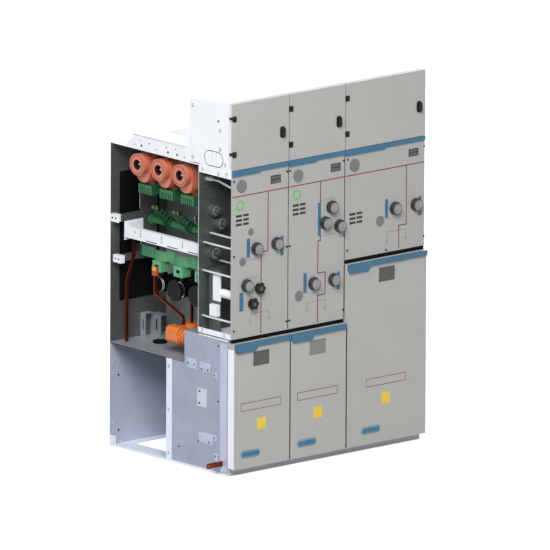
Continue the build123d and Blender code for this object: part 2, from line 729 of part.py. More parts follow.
def drive_blocks():
    """Moulded blocks on the drive's left plate, the upper one with a round coil in front."""
    x = UNIT_X[0]
    upper = block((x - COIL_BLOCK_T, x), COIL_BLOCK_Y, COIL_BLOCK_Z)
    centre = (x + COIL_R - COIL_BLOCK_T, COIL_Z)
    coil = rod_y(COIL_R, centre[0], (COIL_BLOCK_Y[0] - COIL_LONG, COIL_BLOCK_Y[0]), centre[1])
    coil += rod_y(COIL_R * 0.7, centre[0], (COIL_BLOCK_Y[0] - COIL_LONG - 15, COIL_BLOCK_Y[0]), centre[1])
    return Compound([upper + coil, block((x - 2 * COIL_BLOCK_T, x), LOW_BLOCK_Y, LOW_BLOCK_Z)])


def gauge_pipe():
    """Filling valve on the tank with the pipe to the gauge."""
    x, z = VALVE_AT
    gx, gz = GAUGE_AT
    body = rod_y(VALVE_R, x, (TANK_FRONT - 3 * VALVE_R, TANK_FRONT), z)
    path = FilletPolyline((x, TANK_FRONT - 2 * VALVE_R, z), (x, 150, z), (gx, 60, gz - 25),
                          (gx, PANEL_FACE + SHEET, gz - 25), radius=5 * PIPE_R)
    pipe = sweep(Plane(path @ 0, z_dir=path % 0) * Circle(PIPE_R), path)
    return body + pipe


def control_panels():
    """Panels in front of the drives, folded back round their edges."""
    panels = []
    for i in range(len(BAYS)):
        left, right = bay(i, BAY_GAP / 2)
        low, high = PANEL_Z[i], DRIVE_ROOF_Z
        panel = block((left, right), (PANEL_FACE, DRIVE_FRONT), (low, high))
        panel -= block((left + SHEET, right - SHEET), (PANEL_FACE + SHEET, DRIVE_FRONT + 1),
                       (low + SHEET, high - SHEET))
        panels.append(panel)
    return panels


def header_z(i):
    """Height of the lower edge of a cable door's header."""
    return HEADER_Z + PANEL_Z[i] - PANEL_Z[0]


def cable_doors():
    """Folded cable doors, each with a window cut through."""
    doors = []
    for i in range(len(BAYS)):
        left, right = bay(i, BAY_GAP)
        high = header_z(i) + HEADER_TOP - HEADER_Z
        door = block((left, right), (DOOR_FACE, 0), (PLINTH_H, high))
        door -= block((left + SHEET, right - SHEET), (DOOR_FACE + SHEET, 1), (PLINTH_H + SHEET, high - SHEET))
        x, z = WINDOW_CENTRE[i]
        w, h = WINDOW_SIZE
        door -= block((STARTS[i] + x - w / 2, STARTS[i] + x + w / 2), (DOOR_FACE - 1, DOOR_FACE + SHEET + 1),
                      (z - h / 2, z + h / 2))
        doors.append(door)
    return doors


def coloured_strips():
    """Strips along the panels' tops and headers along the cable doors' tops, with a grip at the left."""
    strips = []
    for i in range(len(BAYS)):
        left, right = bay(i, BAY_GAP / 2)
        step = (left + right) / 2
        low = PANEL_TOP - STRIP_DROP
        outline = [(left, DRIVE_ROOF_Z), (left, low), (step - STRIP_DROP, low), (step, PANEL_TOP),
                   (right, PANEL_TOP), (right, DRIVE_ROOF_Z)]
        strips.append(prism_y(outline, (PANEL_FACE - STRIP_PROUD, PANEL_FACE)))
        left, right = bay(i, BAY_GAP)
        low = header_z(i)
        high = low + HEADER_TOP - HEADER_Z
        drop = low - HEADER_GRIP_DROP
        outline = [(left, high), (left, low), (left + 15, drop), (left + HEADER_GRIP, drop),
                   (left + HEADER_GRIP + 20, low), (right, low), (right, high)]
        strips.append(prism_y(outline, (DOOR_FACE - HEADER_PROUD, DOOR_FACE)))
    return Compound(strips)


def door_windows():
    """Panes behind the cable doors' windows."""
    panes = []
    for i in range(len(BAYS)):
        x, z = WINDOW_CENTRE[i]
        w, h = WINDOW_SIZE[0] / 2 + WINDOW_LAP, WINDOW_SIZE[1] / 2 + WINDOW_LAP
        x += STARTS[i]
        back = DOOR_FACE + SHEET
        panes.append(block((x - w, x + w), (back, back + WINDOW_PANE), (z - h, z + h)))
    return Compound(panes)


def pressure_gauges():
    gauges = []
    for start in STARTS:
        x, z = GAUGE_AT
        gauges.append(rod_y(GAUGE_R, start + x, (PANEL_FACE - GAUGE_PROUD, PANEL_FACE), z))
    return Compound(gauges)


def operating_sockets():
    """Round sockets for the operating handle, each with a rim."""
    sockets = []
    for start, places in zip(STARTS, SOCKETS):
        for x, z in places:
            body = rod_y(SOCKET_R, start + x, (PANEL_FACE - SOCKET_LONG, PANEL_FACE), z)
            body -= rod_y(SOCKET_R - SOCKET_RIM, start + x,
                          (PANEL_FACE - SOCKET_LONG - 1, PANEL_FACE - SOCKET_LONG + SOCKET_RIM), z)
            sockets.append(body)
    return Compound(sockets)


def star_knobs():
    """Lobed knobs."""
    knobs = []
    for start, places in zip(STARTS, KNOBS):
        for x, z in places:
            body = rod_y(KNOB_R * 0.8, start + x, (PANEL_FACE - KNOB_LONG, PANEL_FACE), z)
            for k in range(KNOB_LOBES):
                a = radians(360 / KNOB_LOBES * k)
                body += rod_y(KNOB_R * 0.3, start + x + KNOB_R * 0.72 * cos(a),
                              (PANEL_FACE - KNOB_LONG, PANEL_FACE - KNOB_LONG / 2), z + KNOB_R * 0.72 * sin(a))
            knobs.append(body)
    return Compound(knobs)


def lv_outline(back=0):
    """Side outline of a low-voltage box, moved in by back."""
    return [(0, LV_Z + back), (LV_DEPTH - back, LV_Z + back),
            (LV_DEPTH - back, LV_Z + LV_HEIGHT - LV_FALL - back),
            (0, LV_Z + LV_HEIGHT - back)]


def lv_box(i):
    """Sheet box with a falling roof and a lip round its open front."""
    left, right = bay(i, SHEET / 4)
    box = prism_x(lv_outline(), (left, right))
    box -= prism_x(lv_outline(SHEET), (left + SHEET, right - SHEET))
    top = LV_Z + LV_HEIGHT
    d = LV_LIP_IN
    lip = block((left + d, right - d), (-LV_LIP, 0), (LV_Z + d, top - d))
    lip += block((left, right), (0, SHEET), (LV_Z, top))
    d += SHEET
    return box + lip - block((left + d, right - d), (-LV_LIP - 1, SHEET + 1), (LV_Z + d, top - d))


def lv_axis(i):
    """Hinge axis of a low-voltage door in X and Y."""
    return bay(i, BAY_GAP)[0] + HINGE_IN, LV_FACE + HINGE_IN


def lv_door(i):
    """Folded door with notches for the hinges and a hole for the handle."""
    left, right = bay(i, BAY_GAP)
    low, high = LV_Z + SHEET, LV_Z + LV_HEIGHT
    door = block((left, right), (LV_FACE, LV_FACE + LV_DOOR_DEPTH), (low, high))
    door -= block((left + SHEET, right - SHEET), (LV_FACE + SHEET, 0), (low + SHEET, high - SHEET))
    for z in HINGE_Z:
        door -= block((left - 1, left + HINGE_IN + HINGE_R + RUN / 2), (LV_FACE - 1, 0),
                      (LV_Z + z - HINGE_H / 2 - 1, LV_Z + z + HINGE_H / 2 + 1))
    return door - rod_y(SPINDLE_R + PIN_FIT, right - HANDLE_IN + BAY_GAP, (LV_FACE - 1, LV_FACE + SHEET + 1),
                        LV_Z + HANDLE_UP)


def lv_fittings(i):
    """Hinge leaves with two eyes each, and the handle's plate."""
    x, y = lv_axis(i)
    parts = []
    for z in HINGE_Z:
        z += LV_Z
        leaf = block((x, x - HINGE_IN + LEAF_W), (LV_FACE - LEAF_T, LV_FACE),
                     (z - HINGE_H / 2, z + HINGE_H / 2))
        leaf += rod_z(HINGE_R, x, y, (z - HINGE_H / 2, z + HINGE_H / 2))
        leaf += block((x - HINGE_R, x), (LV_FACE - LEAF_T, y), (z - HINGE_H / 2, z + HINGE_H / 2))
        gap = KNUCKLE_H / 2 + 1
        leaf -= block((x - 2 * HINGE_R, x + HINGE_R + RUN / 2), (LV_FACE, 0), (z - gap, z + gap))
        leaf -= block((x - 2 * HINGE_R, x), (LV_FACE - 2 * LEAF_T, LV_FACE), (z - gap, z + gap))
        leaf -= rod_z(HINGE_PIN_R + PIN_FIT, x, y, (z - HINGE_H, z + HINGE_H))
        parts.append(leaf)
    w, h, t = HANDLE_PLATE
    hx, hz = bay(i)[1] - HANDLE_IN, LV_Z + HANDLE_UP
    plate = block((hx - w / 2, hx + w / 2), (LV_FACE - t, LV_FACE), (hz - h / 2, hz + h / 2))
    plate = fillet(plate.edges().filter_by(Axis.Y), w / 2.2)
    parts.append(plate - rod_y(SPINDLE_R + PIN_FIT, hx, (LV_FACE - t - 1, LV_FACE + 1), hz))
    return Compound(parts)


def lv_hinges():
    """Fixed knuckles on arms from the boxes' fronts, with their pins."""
    hinges = []
    for i in range(len(BAYS)):
        x, y = lv_axis(i)
        for z in HINGE_Z:
            z += LV_Z
            arm = block((x - HINGE_R + 1, x + HINGE_R - 1), (y, 0), (z - KNUCKLE_H / 2, z + KNUCKLE_H / 2))
            arm += rod_z(HINGE_R - 0.5, x, y, (z - KNUCKLE_H / 2, z + KNUCKLE_H / 2))
            arm += rod_z(HINGE_PIN_R, x, y, (z - HINGE_H / 2, z + HINGE_H / 2))
            hinges.append(arm)
    return Compound(hinges)


def lv_handle(i):
    """Turning grip with its spindle and the cam behind the door."""
    x, z = bay(i)[1] - HANDLE_IN, LV_Z + HANDLE_UP
    w, h, t = HANDLE_GRIP
    front = LV_FACE - HANDLE_PLATE[2] - 0.5
    grip = block((x - w / 2, x + w / 2), (front - t, front), (z - h / 2, z + h / 2))
    grip = fillet(grip.edges().filter_by(Axis.Y), w / 2.5)
    back = LV_FACE + SHEET + RUN
    grip += rod_y(SPINDLE_R, x, (front, back + CAM[2]), z)
    return grip + block((x - CAM[0] / 2, x + CAM[1]), (back, back + CAM[2]), (z - CAM[0] / 2, z + CAM[0] / 2))


def pieces():
    """Every piece by name, in the cabinet's own frame."""
    found = {"base_frame": base_frame(), "side_panel": side_panel(), "cable_rear_wall": cable_rear_wall(),
             "bay_walls": bay_walls(), "earth_bar": earth_bar(), "tank_floor": tank_floor(),
             "tank_rear_wall": tank_rear_wall(), "tank_front_wall": tank_front_wall(),
             "tank_roof": tank_roof(), "tank_bay_wall": tank_bay_wall(), "rear_barrier": rear_barrier(),
             "closed_tanks": closed_tanks(), "roof_duct": roof_duct(), "pole_cap": pole_cap(),
             "busbar_bushings": busbar_bushings(), "contact_blocks": contact_blocks(),
             "fixed_contacts": fixed_contacts(), "switch_shaft": switch_shaft(),
             "switch_knives": switch_knives(), "knife_tips": knife_tips(), "cross_beam": cross_beam(),
             "switch_frame": switch_frame(), "rear_lugs": rear_lugs(), "insulating_cover": insulating_cover(),
             "pole_heads": pole_heads(), "interrupters": interrupters(), "copper_bars": copper_bars(),
             "cable_bushings": cable_bushings(), "floor_bracket": floor_bracket(),
             "mechanism_floor": mechanism_floor(), "mechanism_roof": mechanism_roof(),
             "drive_rods": drive_rods(), "drive_unit": drive_unit(), "drive_blocks": drive_blocks(),
             "gauge_pipe": gauge_pipe(),
             "coloured_strips": coloured_strips(), "door_windows": door_windows(),
             "pressure_gauges": pressure_gauges(), "operating_sockets": operating_sockets(),
             "star_knobs": star_knobs(), "lv_hinges": lv_hinges()}
    for i, (panel, door) in enumerate(zip(control_panels(), cable_doors()), 1):
        found[f"control_panel_{i}"] = panel
        found[f"cable_door_{i}"] = door
        found[f"lv_box_{i}"] = lv_box(i - 1)
        found[f"lv_door_{i}"] = lv_door(i - 1)
        found[f"lv_fittings_{i}"] = lv_fittings(i - 1)
        found[f"lv_handle_{i}"] = lv_handle(i - 1)
    return found


PIECES = pieces()
limits = Compound([Compound(list(piece.solids())) for piece in PIECES.values()]).bounding_box()
ORIGIN = Vector(limits.center().X, limits.center().Y, 0)

os.makedirs("parts", exist_ok=True)
for name, piece in PIECES.items():
    export_step(Compound(list(piece.solids())).moved(Location(-ORIGIN)), f"parts/{name}.step")
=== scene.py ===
"""Finishes, fixings, front markings, camera and light for a three-bay gas insulated switchgear cabinet."""
import math

import bpy
from bpy.props import FloatProperty, PointerProperty, StringProperty
from mathutils import Matrix, Vector


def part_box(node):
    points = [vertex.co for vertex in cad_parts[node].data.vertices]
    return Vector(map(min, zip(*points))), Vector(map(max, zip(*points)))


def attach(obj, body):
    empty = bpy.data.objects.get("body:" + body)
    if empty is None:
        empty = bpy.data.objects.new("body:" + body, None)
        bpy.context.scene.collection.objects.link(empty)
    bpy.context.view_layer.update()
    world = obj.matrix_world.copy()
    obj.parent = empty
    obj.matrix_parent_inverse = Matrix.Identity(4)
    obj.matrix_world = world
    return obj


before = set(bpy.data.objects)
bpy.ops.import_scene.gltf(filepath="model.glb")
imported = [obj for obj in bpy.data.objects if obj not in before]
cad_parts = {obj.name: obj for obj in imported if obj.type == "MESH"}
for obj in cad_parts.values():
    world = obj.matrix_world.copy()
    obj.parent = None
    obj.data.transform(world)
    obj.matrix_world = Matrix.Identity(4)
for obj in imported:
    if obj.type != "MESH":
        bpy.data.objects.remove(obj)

bl_info = {
    "name": "Switchgear cabinet dressing",
    "version": (1, 0, 0),
    "blender": (4, 5, 0),
    "location": "3D View > Sidebar > Cabinet",
    "description": "Finishes and small parts of a three-bay gas insulated switchgear cabinet",
    "category": "Object",
}

# Places are in millimetres from the plinth's lower left front corner: X to the right, Y to the back, Z up.
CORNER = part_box("base_frame")[0]
METRE = 1000
BAYS = (1, 2, 3)


def at(x, y, z):
    """A place in the cabinet's millimetres as a place in the row frame."""
    return CORNER + Vector((x, y, z)) / METRE


def place(point):
    """A place in the row frame in the cabinet's millimetres."""
    return (Vector(point) - CORNER) * METRE


def limits(node):
    """The lowest and highest corner of a CAD node in the cabinet's millimetres."""
    low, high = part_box(node)
    return place(low), place(high)


PANEL_FACE = limits("control_panel_1")[0].y
DOOR_FACE = limits("cable_door_1")[0].y


# Finishes

# The share of its colour that a coat keeps in its darker patches
COAT_SHADE = 0.966
SPECULAR = "Specular IOR Level"
WHITE = (1, 1, 1, 1)


def linear(hexadecimal):
    """An sRGB colour such as "A9A9A7" as linear RGB with alpha."""
    parts = [int(hexadecimal[i : i + 2], 16) / 255 for i in (0, 2, 4)]
    return [p / 12.92 if p <= 0.04045 else ((p + 0.055) / 1.055) ** 2.4 for p in parts] + [1.0]


def darker(hexadecimal, share):
    """An sRGB colour with each part cut to a share of itself."""
    return "".join(f"{round(int(hexadecimal[i : i + 2], 16) * share):02X}" for i in (0, 2, 4))


def add(tree, kind, inputs=None, **settings):
    """Adds one shader node. An input is a value, or a node and its output's name to link from."""
    made = tree.nodes.new("ShaderNode" + kind)
    for name, value in settings.items():
        setattr(made, name, value)
    for name, value in (inputs or {}).items():
        if isinstance(value, tuple) and isinstance(value[0], bpy.types.Node):
            tree.links.new(value[0].outputs[value[1]], made.inputs[name])
        else:
            made.inputs[name].default_value = value
    return made


def empty_tree(owner):
    """The node tree of a material or world, with no nodes in it."""
    owner.use_nodes = True
    owner.node_tree.nodes.clear()
    return owner.node_tree


def finish(name, colour, shade, grain, rough, bump, blotch, stretch=(1, 1, 1), **sockets):
    """A material whose grain varies its colour from colour to shade and its roughness over rough.

    blotch is the size of slower patches, such as dust and handling. It, grain and bump are in millimetres.
    """
    made = bpy.data.materials.new(name)
    tree = empty_tree(made)
    where = add(tree, "TexCoord")
    scaled = add(tree, "Mapping", {"Vector": (where, "Object"), "Scale": stretch})
    fine = add(tree, "TexNoise", {"Vector": (scaled, "Vector"), "Scale": METRE / grain, "Detail": 3.0})
    slow = add(tree, "TexNoise", {"Vector": (scaled, "Vector"), "Scale": METRE / blotch, "Detail": 2.0})
    mixed = add(tree, "Math", {0: (fine, "Fac"), 1: (slow, "Fac")}, operation="MULTIPLY")
    spread = add(tree, "MapRange", {"Value": (mixed, "Value"), "From Min": 0.12, "From Max": 0.42})
    colours = {"Factor": (spread, "Result"), 6: linear(colour), 7: linear(shade)}
    tint = add(tree, "Mix", colours, data_type="RGBA")
    span = {"From Min": 0.3, "From Max": 0.7, "To Min": rough[0], "To Max": rough[1]}
    dull = add(tree, "MapRange", {"Value": (fine, "Fac"), **span})
    inputs = {"Base Color": (tint, 2), "Roughness": (dull, "Result"), **sockets}
    if bump:
        height = {"Height": (fine, "Fac"), "Strength": 0.6, "Distance": bump / METRE}
        inputs["Normal"] = (add(tree, "Bump", height), "Normal")
    shader = add(tree, "BsdfPrincipled", inputs)
    add(tree, "OutputMaterial", {"Surface": (shader, "BSDF")})
    return made


def make_finishes(coats):
    """Every finish by its name."""
    made = {}

    def keep(name, *numbers, **sockets):
        made[name] = finish(name, *numbers, **sockets)

    # Powder-coated steel: satin, with a fine orange peel that softens each highlight. The control panels'
    # batch is slightly darker than the doors'.
    for name, coat in (("grey_powder_coat", coats.door_coat), ("panel_powder_coat", coats.panel_coat)):
        keep(name, coat, darker(coat, COAT_SHADE), 2.5, (0.42, 0.52), 0.03, 240)
    # The boxes' coat: near-white and a little colder, with the same orange peel.
    keep("white_powder_coat", "EEF2F7", "E6EBF1", 2.5, (0.4, 0.5), 0.03, 260)
    # Galvanised sheet: faint spangle, cold blue-grey, and duller where the zinc has bloomed.
    keep("galvanised_sheet", "9CA4B8", "8F97AC", 9, (0.36, 0.5), 0.01, 160, Metallic=0.2)
    # The same sheet new, on the base frame: paler, with finer spangle. On the cut edges the same paleness is
    # a painted highlight.
    keep("new_galvanised_and_edge_highlight", "E6ECFA", "DAE1F0", 7, (0.4, 0.5), 0.01, 160, Metallic=0.1)
    # The sheet behind the cables and between the bays: greyer and paler than the side's sheet, painted light
    # that lifts the shadow on these walls, with the same spangle.
    keep("shadow_lifted_galvanised_sheet", "B2B9CB", "A5ACBF", 8, (0.4, 0.52), 0.01, 160, Metallic=0.1)
    # Plinth sheet: neutral grey and duller than the posts, lightened as painted light against the shadow
    # under the doors' overhang.
    keep("plinth_zinc_sheet", "C2C5CA", "B6B9BF", 8, (0.42, 0.55), 0.01, 160, Metallic=0.1)
    # Small zinc-plated plates of the side: a little paler than the sheet behind them.
    keep("pale_zinc_plate", "B9C0D6", "AEB6CC", 6, (0.38, 0.5), 0.01, 120, Metallic=0.15)
    # Zinc-plated sheet inside the tank: plain, cold grey, with slow upright streaks.
    keep("shaded_zinc_sheet", "A2A7AB", "90959A", 7, (0.34, 0.46), 0.01, 180, (1, 1, 3), Metallic=0.3)
    # Stainless sheet of the closed tanks: pale, brushed from front to back. The paleness is painted light, a
    # lit copy of the stainless that the open tank shows in shade.
    keep("pale_stainless", "D2D5D6", "C6C9CA", 3, (0.34, 0.5), 0.02, 120, (12, 1, 12), Metallic=0.2)
    # Stainless sheet of the open tank, seen in shade: dark, slightly warm and brushed across.
    keep("brushed_stainless", "6A6E6D", "585C5B", 3, (0.34, 0.5), 0.02, 120, (1, 12, 12), Metallic=0.55)
    # Blue moulded trim: even colour, low sheen from the mould's fine texture, and its paler faces.
    keep("blue_moulded_trim", "386A89", "31627E", 1.6, (0.4, 0.5), 0.02, 120)
    keep("pale_blue_trim", "A9C9DA", "9DC0D3", 1.6, (0.4, 0.5), 0.02, 120)
    # Cast epoxy resin: salmon, smooth and slightly glossy, with soft mottling from the filler.
    keep("salmon_epoxy_resin", "D07A60", "BF694F", 6, (0.25, 0.36), 0.04, 60)
    # The cable bushings are cast from an orange batch of the same resin.
    keep("orange_epoxy_resin", "DD7A35", "CB6628", 6, (0.25, 0.36), 0.04, 60)
    # Dark red-brown in the bushings' face grooves and bores: painted shade in these recesses, duller than the
    # bushings.
    keep("bushing_recess_shade", "3A1812", "2C110C", 4, (0.35, 0.5), 0.02, 50)
    # Glass-filled green polyester: matt, with short fibres just visible.
    keep("green_polyester", "43905E", "33794C", 3, (0.42, 0.55), 0.05, 50, (1, 1, 3))
    # The same polyester where the lamp reaches it: paler and a little glossier.
    keep("pale_green_polyester", "6CB987", "5AA776", 3, (0.36, 0.5), 0.05, 50, (1, 1, 3))
    # Darker green polyester of the moving knives and the slotted blocks.
    keep("deep_green_polyester", "286C42", "1D5532", 3, (0.42, 0.55), 0.05, 50, (3, 1, 1))
    # Hot-rolled copper bar, darkened by handling and heat.
    keep("tarnished_copper", "7A3220", "5A2416", 4, (0.3, 0.45), 0.02, 70, Metallic=0.85)
    # Turned brass of the contact tips and the pole cap's top: yellow and fairly bright.
    keep("turned_brass", "C8A45A", "B08C42", 2, (0.22, 0.34), 0.01, 40, Metallic=1.0)
    # Silver-plated copper: pale, soft shine.
    keep("silver_plate", "C9CBC8", "B0B3B0", 2.5, (0.24, 0.36), 0.01, 40, Metallic=1.0)
    # Bright zinc-plated steel of the drive's rods, bolts and pins.
    keep("bright_zinc_plate", "DFE2E3", "C9CDCF", 3, (0.28, 0.4), 0.015, 50, Metallic=0.35)
    # Dark zinc-nickel of the sockets' collars and of the washer rings round bolts: gunmetal, worn paler in
    # patches. Round the bolt heads its dark is also painted shade.
    keep("dark_zinc_nickel_and_shade", "3A3C3C", "5C6060", 3, (0.28, 0.42), 0.02, 30, Metallic=0.7)
    # Turned disc on each socket's front: pale satin nickel.
    keep("satin_nickel", "8E908F", "7F8180", 2, (0.3, 0.42), 0.01, 40, Metallic=0.5)
    # Red-brown orange moulding of the rear pole's cap: dull satin.
    keep("orange_moulding", "B4502C", "A24424", 3, (0.35, 0.45), 0.03, 50)
    # Black moulded nylon: near-black, matt, and slightly grey where it is handled.
    keep("black_nylon", "0E0E0E", "161616", 1.5, (0.5, 0.66), 0.03, 60, **{SPECULAR: 0.25})
    # Black rubber of seals and grommets: very matt. The same black marks holes, slots and the gaps under the
    # panels, where it is painted shade.
    keep("black_rubber_and_shade", "070707", "0C0C0B", 2, (0.7, 0.85), 0.04, 60, **{SPECULAR: 0.1})
    # Black glazed ceramic of the breaking chambers: a faint, broad shine.
    keep("black_glazed_ceramic", "0A0C0D", "070809", 4, (0.26, 0.4), 0.02, 50, **{SPECULAR: 0.12})
    # Grey ceramic faces of the gauges and round covers: smooth, with a faint mottle.
    keep("grey_ceramic", "727573", "6A6D6B", 3, (0.3, 0.42), 0.02, 60)
    # Smoked acrylic panes: dark and glossy, so that nothing shows behind them.
    keep("smoked_acrylic", "4A4A46", "424240", 3, (0.3, 0.36), 0.0, 80)
    # The second bay's pane is clouded by age: paler and duller.
    keep("clouded_acrylic", "7F7F7B", "787874", 3, (0.4, 0.5), 0.0, 80)
    # Screen-printed inks on the panels, thin, even and nearly matt.
    for ink, colour, shade in (("red", "8C2E36", "7C262E"), ("maroon", "6A2A2E", "5C2226"),
                               ("brown", "75665F", "685A54"), ("black", "161616", "202020"),
                               ("green", "5FBF62", "4DAA52")):
        keep(f"{ink}_print", colour, shade, 2, (0.45, 0.55), 0.0, 60)
    # Blank vinyl labels: flat colour with a soft sheen.
    keep("pale_label", "CDD2DD", "C3C8D4", 4, (0.5, 0.6), 0.0, 80)
    keep("yellow_label", "E9C94A", "DDBB3C", 4, (0.45, 0.55), 0.0, 80)
    return made


def numbered(name):
    """The three bays' nodes of one name."""
    return [f"{name}_{i}" for i in BAYS]


NODE_FINISH = {
    "panel_powder_coat": numbered("control_panel"),
    "grey_powder_coat": [*numbered("cable_door"), *numbered("lv_door")],
    "white_powder_coat": [*numbered("lv_box"), "roof_duct", "cross_beam", "mechanism_floor",
                          "mechanism_roof", "rear_lugs", "tank_roof", "drive_blocks"],
    "galvanised_sheet": ["side_panel"],
    "new_galvanised_and_edge_highlight": ["base_frame"],
    "shadow_lifted_galvanised_sheet": ["cable_rear_wall", "bay_walls"],
    "shaded_zinc_sheet": ["tank_floor", "tank_bay_wall", "floor_bracket"],
    "pale_stainless": ["closed_tanks"],
    "brushed_stainless": ["tank_rear_wall", "tank_front_wall", "switch_frame", "drive_unit"],
    "blue_moulded_trim": ["coloured_strips"],
    "salmon_epoxy_resin": ["busbar_bushings"],
    "orange_epoxy_resin": ["cable_bushings"],
    "green_polyester": ["switch_shaft"],
    "pale_green_polyester": ["insulating_cover", "pole_heads"],
    "deep_green_polyester": ["contact_blocks", "switch_knives"],
    "tarnished_copper": ["copper_bars", "earth_bar"],
    "turned_brass": ["knife_tips"],
    "silver_plate": ["fixed_contacts"],
    "bright_zinc_plate": ["drive_rods", "gauge_pipe"],
    "dark_zinc_nickel_and_shade": ["operating_sockets"],
    "orange_moulding": ["pole_cap"],
    "black_nylon": ["star_knobs", "lv_hinges", *numbered("lv_fittings"), *numbered("lv_handle")],
    "black_rubber_and_shade": ["rear_barrier"],
    "black_glazed_ceramic": ["interrupters"],
    "grey_ceramic": ["pressure_gauges"],
    "smoked_acrylic": ["door_windows"],
}
# The record's slot for the small pieces of each finish.
SLOT_FINISHES = {
    "painted_grey": ["red_print", "maroon_print", "brown_print", "black_print", "green_print",
                     "yellow_label"],
    "painted_white": ["white_powder_coat", "pale_label"],
    "blue_plastic": ["blue_moulded_trim", "pale_blue_trim"],
    "black_plastic": ["black_nylon", "black_rubber_and_shade"],
    "chamber_grey": ["grey_ceramic"],
    "clear_pane": ["clouded_acrylic"],
    "resin": ["bushing_recess_shade"],
    "silvered": ["silver_plate"],
    "brass": ["turned_brass"],
    "zinc_bright": ["new_galvanised_and_edge_highlight", "plinth_zinc_sheet", "pale_zinc_plate", "shaded_zinc_sheet",
                    "bright_zinc_plate", "dark_zinc_nickel_and_shade", "satin_nickel"],
}
SLOT_OF = {name: slot for slot, names in SLOT_FINISHES.items() for name in names}
FINISHES = {}


# Modelling

# Smoothing angles of plates and of round pieces, in degrees
PLATE_SMOOTH, ROUND_SMOOTH = 30, 40
WELD = 0.00001
AXES = {"X": Vector((1, 0, 0)), "-X": Vector((-1, 0, 0)), "-Y": Vector((0, -1, 0)), "Y": Vector((0, 1, 0)),
        "Z": Vector((0, 0, 1))}


def deselect():
    """Leaves nothing selected, in object mode."""
    if bpy.context.mode != "OBJECT":
        bpy.ops.object.mode_set(mode="OBJECT")
    bpy.ops.object.select_all(action="DESELECT")


def choose(obj):
    """Leaves one piece selected and active."""
    deselect()
    obj.select_set(True)
    bpy.context.view_layer.objects.active = obj


def settle(name):
    """Names the active object and brings its place, turn and scale into its mesh."""
    obj = bpy.context.object
    obj.name = obj.data.name = name
    bpy.ops.object.transform_apply(location=True, rotation=True, scale=True)
    return obj


def edit(obj, wanted=None):
    """Goes into edit mode with the faces that wanted(centre, normal) chooses, or with all."""
    choose(obj)
    bpy.context.tool_settings.mesh_select_mode = (False, False, True)
    mesh = obj.data
    for part in (*mesh.vertices, *mesh.edges):
        part.select = False
    for face in mesh.polygons:
        face.select = wanted is None or bool(wanted(place(face.center), face.normal))
    bpy.ops.object.mode_set(mode="EDIT")


def done(obj, smooth=PLATE_SMOOTH):
    """Leaves edit mode with outward normals and smooth faces up to an angle in degrees."""
    bpy.ops.mesh.select_all(action="SELECT")
    bpy.ops.mesh.normals_make_consistent(inside=False)
    bpy.ops.object.mode_set(mode="OBJECT")
    choose(obj)
    bpy.ops.object.shade_smooth_by_angle(angle=math.radians(smooth))
    return obj


def plate(name, x, y, z, edge=0.5, steps=1):
    """A plate between limits in millimetres, with its edges rounded in steps."""
    deselect()
    middle = at(*[sum(pair) / 2 for pair in (x, y, z)])
    bpy.ops.mesh.primitive_cube_add(size=1, location=middle)
    bpy.context.object.scale = [abs(pair[1] - pair[0]) / METRE for pair in (x, y, z)]
    obj = settle(name)
    edit(obj)
    bpy.ops.mesh.bevel(offset=edge / METRE, segments=steps, affect="EDGES")
    return done(obj)


def front_plate(name, x, z, face, proud, edge=0.3, sunk=0.3, steps=1):
    """A thin plate that stands proud of a front face and is sunk a little into it."""
    return plate(name, x, (face - proud, face + sunk), z, edge, steps)


def side_plate(name, y, z, face, proud, edge=0.3, sunk=0.3, steps=1):
    """The same on a face that looks left."""
    return plate(name, (face - proud, face + sunk), y, z, edge, steps)


def circle(name, radius, height, sides, fill):
    """A level circle round the row frame's origin, from which a round piece is drawn up."""
    deselect()
    bpy.ops.mesh.primitive_circle_add(
        vertices=sides, radius=radius / METRE, fill_type=fill, location=(0, 0, height / METRE))
    return settle(name)


def draw_up(extrude, profile):
    """Extrudes and scales the selected ring through (radius, height) pairs in millimetres."""
    radius, height = profile[0]
    for wide, high in profile[1:]:
        extrude(TRANSFORM_OT_translate={"value": (0, 0, (high - height) / METRE)})
        grow = wide / radius
        bpy.ops.transform.resize(value=(grow, grow, 1), center_override=(0, 0, high / METRE))
        radius, height = wide, high


def stand(obj, name, spot, axis):
    """Finishes a round piece that was drawn up, and stands it on its spot along an axis."""
    done(obj, ROUND_SMOOTH)
    turn = AXES[axis].to_track_quat("Z", "Y").to_matrix().to_4x4()
    obj.matrix_world = Matrix.Translation(at(*spot)) @ turn
    return settle(name)


def turned(name, profile, spot, axis="-Y", sides=32):
    """A solid round piece through (radius, height) pairs along an axis."""
    obj = circle(name, *profile[0], sides, "NGON")
    edit(obj)
    draw_up(bpy.ops.mesh.extrude_region_move, profile)
    return stand(obj, name, spot, axis)


def hoop(name, profile, spot, axis="-Y", sides=32):
    """A closed ring whose section runs through (radius, height) pairs and back to the first."""
    obj = circle(name, *profile[0], sides, "NOTHING")
    bpy.context.tool_settings.mesh_select_mode = (False, True, False)
    bpy.ops.object.mode_set(mode="EDIT")
    bpy.ops.mesh.select_all(action="SELECT")
    draw_up(bpy.ops.mesh.extrude_edges_move, (*profile, profile[0]))
    bpy.ops.mesh.select_all(action="SELECT")
    bpy.ops.mesh.remove_doubles(threshold=WELD)
    return stand(obj, name, spot, axis)


